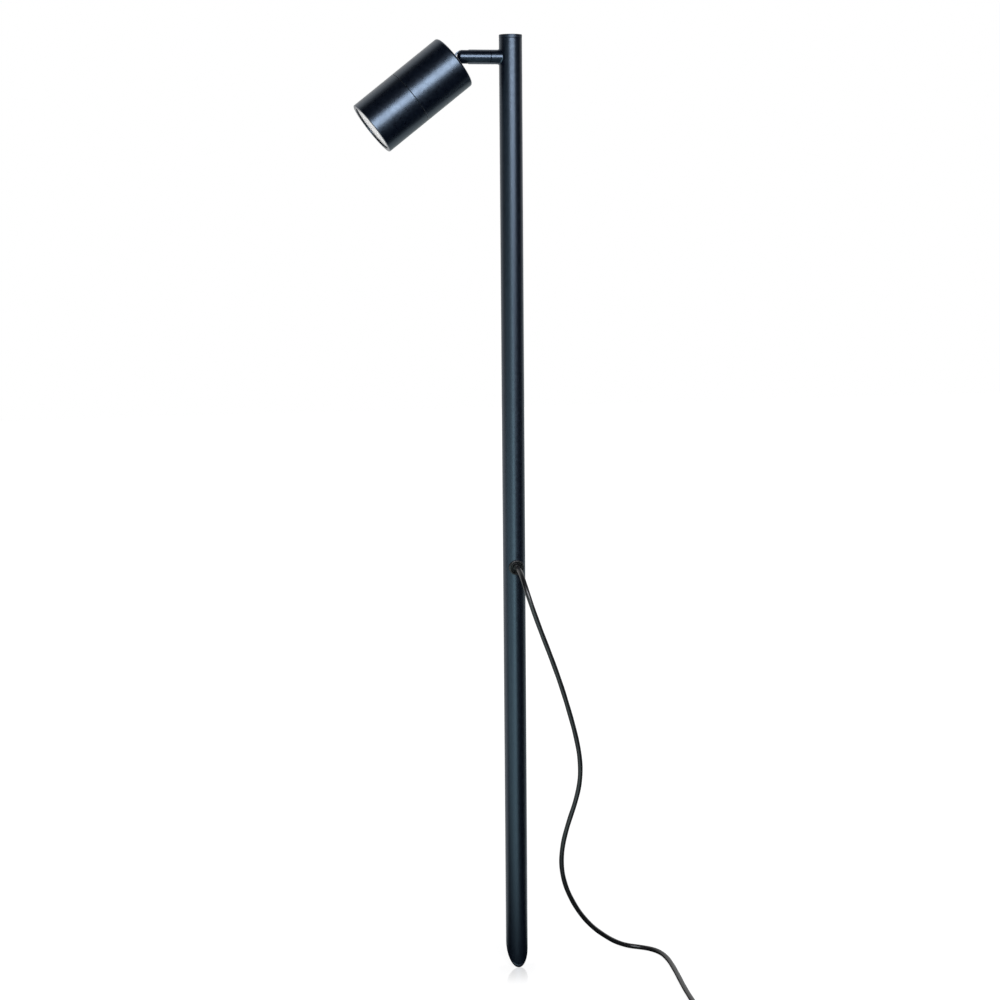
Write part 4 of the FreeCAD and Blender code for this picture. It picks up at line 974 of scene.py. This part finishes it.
class SPIKELIGHT_OT_small_parts(bpy.types.Operator):
    """Screws, seals, ties and what is inside the head"""

    bl_idname = "spikelight.small_parts"
    bl_label = "Small Parts"

    def execute(self, context):
        for name, (nodes, *values) in MOULDED.items():
            give(moulded_finish(name, *values), *nodes)
        for name, (nodes, *values) in BARE_METAL.items():
            give(metal_finish(name, *values), *nodes)
        give(sleeve_finish(), "head_leads")
        return {"FINISHED"}


# ---- studio ----

# Ways out of the room, with the cosines from each between which its walls fade in
BACKDROP_WAY = (0.1, 0.99, 0.05)
BACKDROP_SIDES = (0.05, 0.55)
BACKDROP_MIDDLE = (0.9, 0.96)
LEFT_WAY = (-0.95, -0.3, 0.0)
LEFT_FADE = (0.3, 0.9)
DOWN = (0.0, 0.0, -1.0)
DOWN_FADE = (-0.12, 0.06)

# The floor's fades by the distance from the tip: start and end in metres, and the values there
# where they aren't 0 and 1. Gloss sees a glow behind, which dims to the right, and a pool of light
# in front, on the left. The camera sees the white and the mirror image
GLOW_BEHIND = (0.0, 0.1)
GLOW_RIGHT = (0.1, 0.5, 1.0, 0.6)
POOL_AHEAD = (0.0, -0.5, 0.0, 1.3)
POOL_LEFT = (0.16, 0.0)
WHITE_AWAY = (0.25, 1.0, 1.2, 1.35)
MIRROR_AHEAD = (0.01, -0.01)
MIRROR_ACROSS = (0.016, 0.034, 1.0, 0.0)
MIRROR_START = 0.01

ACROSS_WAY = (0.98, -0.19, 0.0)
POOL_COLOUR = (0.78, 1.0, 1.0)
WHITE = (1.0, 1.0, 1.0, 1.0)
FLOOR_HALF_WIDTH = 6.0


def add_camera():
    """The photograph's camera: placed by its own axes, with no shift and no depth of field."""
    lens = bpy.data.cameras.new("camera")
    lens.lens = CAMERA_LENS
    lens.sensor_width = CAMERA_SENSOR
    lens.clip_end = 100.0
    camera = add_object("camera", lens)
    axes = Matrix((CAMERA_RIGHT, CAMERA_UP, tuple(-v for v in CAMERA_LOOK))).transposed()
    camera.matrix_world = Matrix.Translation(Vector(CAMERA_PLACE) * MM) @ axes.to_4x4()
    bpy.context.scene.camera = camera


def add_lamp(name, place, aim, power, width, height, colour, spread=math.pi):
    """Soft rectangular lamp at place, turned towards aim. A grid on it narrows its spread."""
    light = bpy.data.lights.new(name, "AREA")
    light.shape = "RECTANGLE"
    light.size = width
    light.size_y = height
    light.energy = power
    light.color = colour
    light.spread = spread
    lamp = add_object(name, light)
    lamp.location = place
    lamp.rotation_euler = (Vector(aim) - Vector(place)).to_track_quat("-Z", "Y").to_euler()
    lamp.visible_camera = False


def ray_masks(tree):
    """Masks of the rays that see a thing, straight or through glass, and of those from gloss."""
    rays = add_node(tree, "LightPath").outputs
    seen = math_node(tree, "MAXIMUM", rays["Is Camera Ray"], rays["Is Transmission Ray"])
    return seen, rays["Is Glossy Ray"]


def studio_world(settings):
    """White to the camera and through glass. Gloss sees white behind the object, where the
    backdrop is, low grey on the left, and a dim room in front. All else is lit by an even
    soft light."""
    world = bpy.data.worlds.new("studio")
    tree = empty_tree(world)
    seen, mirrored = ray_masks(tree)
    way = add_node(tree, "TexCoord").outputs["Generated"]
    back = dot_product(tree, way, BACKDROP_WAY)
    backdrop = math_node(tree, "MAXIMUM",
                         ramp(tree, back, *BACKDROP_SIDES, 0.0, settings.backdrop_level),
                         ramp(tree, back, *BACKDROP_MIDDLE))
    left = dot_product(tree, way, LEFT_WAY)
    left_wall = math_node(tree, "MULTIPLY", ramp(tree, left, *LEFT_FADE, 0.0, settings.left_level),
                          ramp(tree, dot_product(tree, way, DOWN), *DOWN_FADE))
    walls = math_node(tree, "MAXIMUM", backdrop, left_wall)
    gloss = math_node(tree, "MAXIMUM", walls, settings.front_level)
    soft = add_node(tree, "Mix", {0: mirrored, 2: settings.room_level, 3: gloss}).outputs[0]
    level = add_node(tree, "Mix", {0: seen, 2: soft, 3: 1.0}).outputs[0]
    shade = add_node(tree, "Background", {"Color": WHITE, "Strength": level}).outputs[0]
    add_node(tree, "OutputWorld", {"Surface": shade})
    bpy.context.scene.world = world


def mix_shaders(tree, share, first, second):
    """Shader that goes from the first to the second with the share."""
    return add_node(tree, "MixShader", {0: share, 1: first, 2: second}).outputs[0]


def floor_finish(settings):
    """White floor. The camera sees its white with a soft shadow, and a short mirror image at the
    tip. Gloss sees it white behind the object and dim in front."""
    material, tree, shader, place = new_material(
        "white_floor", Roughness=0.9, Base_Color=(0.9, 0.9, 0.9, 1.0), Specular_IOR_Level=0.0)
    matt = shader.outputs[0]
    seen, mirrored = ray_masks(tree)
    x, y = add_node(tree, "SeparateXYZ", {0: place}).outputs[:2]
    away = add_node(tree, "VectorMath", {0: place}, operation="LENGTH").outputs["Value"]
    behind = math_node(tree, "MULTIPLY", ramp(tree, y, *GLOW_BEHIND), ramp(tree, x, *GLOW_RIGHT))
    pool = math_node(tree, "MULTIPLY", ramp(tree, y, *POOL_AHEAD), ramp(tree, x, *POOL_LEFT))
    glow = add_node(tree, "Emission", {
        "Color": blend_colours(tree, behind, POOL_COLOUR, WHITE[:3]),
        "Strength": math_node(tree, "MAXIMUM", behind, pool)}).outputs[0]
    white = add_node(tree, "Emission", {"Strength": ramp(tree, away, *WHITE_AWAY)}).outputs[0]
    mirror = add_node(tree, "BsdfAnisotropic", {"Color": WHITE, "Roughness": 0.1}).outputs[0]
    across = math_node(tree, "ABSOLUTE", dot_product(tree, place, ACROSS_WAY))
    strip = math_node(tree, "MULTIPLY", ramp(tree, y, *MIRROR_AHEAD),
                      ramp(tree, across, *MIRROR_ACROSS))
    share = math_node(tree, "MULTIPLY", strip, ramp(
        tree, away, MIRROR_START, settings.mirror_reach, settings.mirror_share, 0.0))
    floor = mix_shaders(tree, share, mix_shaders(tree, settings.shadow_share, white, matt), mirror)
    lit = mix_shaders(tree, mirrored, matt, glow)
    output = next(n for n in tree.nodes if n.type == "OUTPUT_MATERIAL")
    tree.links.new(mix_shaders(tree, seen, lit, floor), output.inputs["Surface"])
    return material


class SPIKELIGHT_OT_stage(bpy.types.Operator):
    """Floor, backdrop, lamps and camera"""

    bl_idname = "spikelight.stage"
    bl_label = "Stage"

    def execute(self, context):
        settings = context.scene.spikelight.studio
        context.scene.view_settings.view_transform = "Standard"
        add_camera()
        half = FLOOR_HALF_WIDTH
        mesh = bpy.data.meshes.new("floor")
        mesh.from_pydata([(-half, -half, 0), (half, -half, 0), (half, half, 0), (-half, half, 0)],
                         [], [(0, 1, 2, 3)])
        mesh.materials.append(floor_finish(settings))
        floor = add_object("floor", mesh)
        studio_world(settings)
        add_lamp("key", place=(0.12, -1.78, 1.33), aim=(0.0, 0.0, 1.0), power=settings.key_power,
                 width=settings.key_width, height=settings.key_height, colour=settings.key_colour)
        add_lamp("low", place=(-0.25, -1.5, 0.36), aim=(0.0, 0.0, 0.3), power=settings.low_power,
                 width=0.7, height=0.7, colour=settings.low_colour, spread=math.radians(50))
        return {"FINISHED"}


# ---- add-on ----

class SPIKELIGHT_PT_panel(bpy.types.Panel):
    """Everything that builds the spotlight, in order"""

    bl_idname = "SPIKELIGHT_PT_panel"
    bl_label = "Garden Spike Spotlight"
    bl_space_type = "VIEW_3D"
    bl_region_type = "UI"
    bl_category = "Spike Light"

    def draw(self, context):
        for operator in OPERATORS:
            self.layout.operator(operator.bl_idname)
        settings = context.scene.spikelight
        for group in (settings.cord, settings.coating, settings.head, settings.studio):
            box = self.layout.box()
            for name in group.bl_rna.properties.keys():
                if name not in ("rna_type", "name"):
                    box.prop(group, name)


OPERATORS = (SPIKELIGHT_OT_stage, SPIKELIGHT_OT_coil_band, SPIKELIGHT_OT_cord,
             SPIKELIGHT_OT_coated_metal, SPIKELIGHT_OT_head_thread, SPIKELIGHT_OT_lamp_lens,
             SPIKELIGHT_OT_front_glass, SPIKELIGHT_OT_small_parts)
CLASSES = (SPIKELIGHT_PG_cord, SPIKELIGHT_PG_coating, SPIKELIGHT_PG_head, SPIKELIGHT_PG_studio,
           SPIKELIGHT_PG_settings, *OPERATORS, SPIKELIGHT_PT_panel)


def register():
    """Add the classes and the settings to Blender."""
    for cls in CLASSES:
        bpy.utils.register_class(cls)
    bpy.types.Scene.spikelight = PointerProperty(type=SPIKELIGHT_PG_settings)


def unregister():
    """Take the classes and the settings out again."""
    del bpy.types.Scene.spikelight
    for cls in reversed(CLASSES):
        bpy.utils.unregister_class(cls)


def main():
    """Build the spotlight in its studio."""
    register()
    bpy.ops.spikelight.stage()
    bpy.ops.spikelight.coil_band()
    bpy.ops.spikelight.cord()
    bpy.ops.spikelight.coated_metal()
    bpy.ops.spikelight.head_thread()
    bpy.ops.spikelight.lamp_lens()
    bpy.ops.spikelight.front_glass()
    bpy.ops.spikelight.small_parts()
    bpy.context.view_layer.update()


if __name__ == "__main__":
    main()
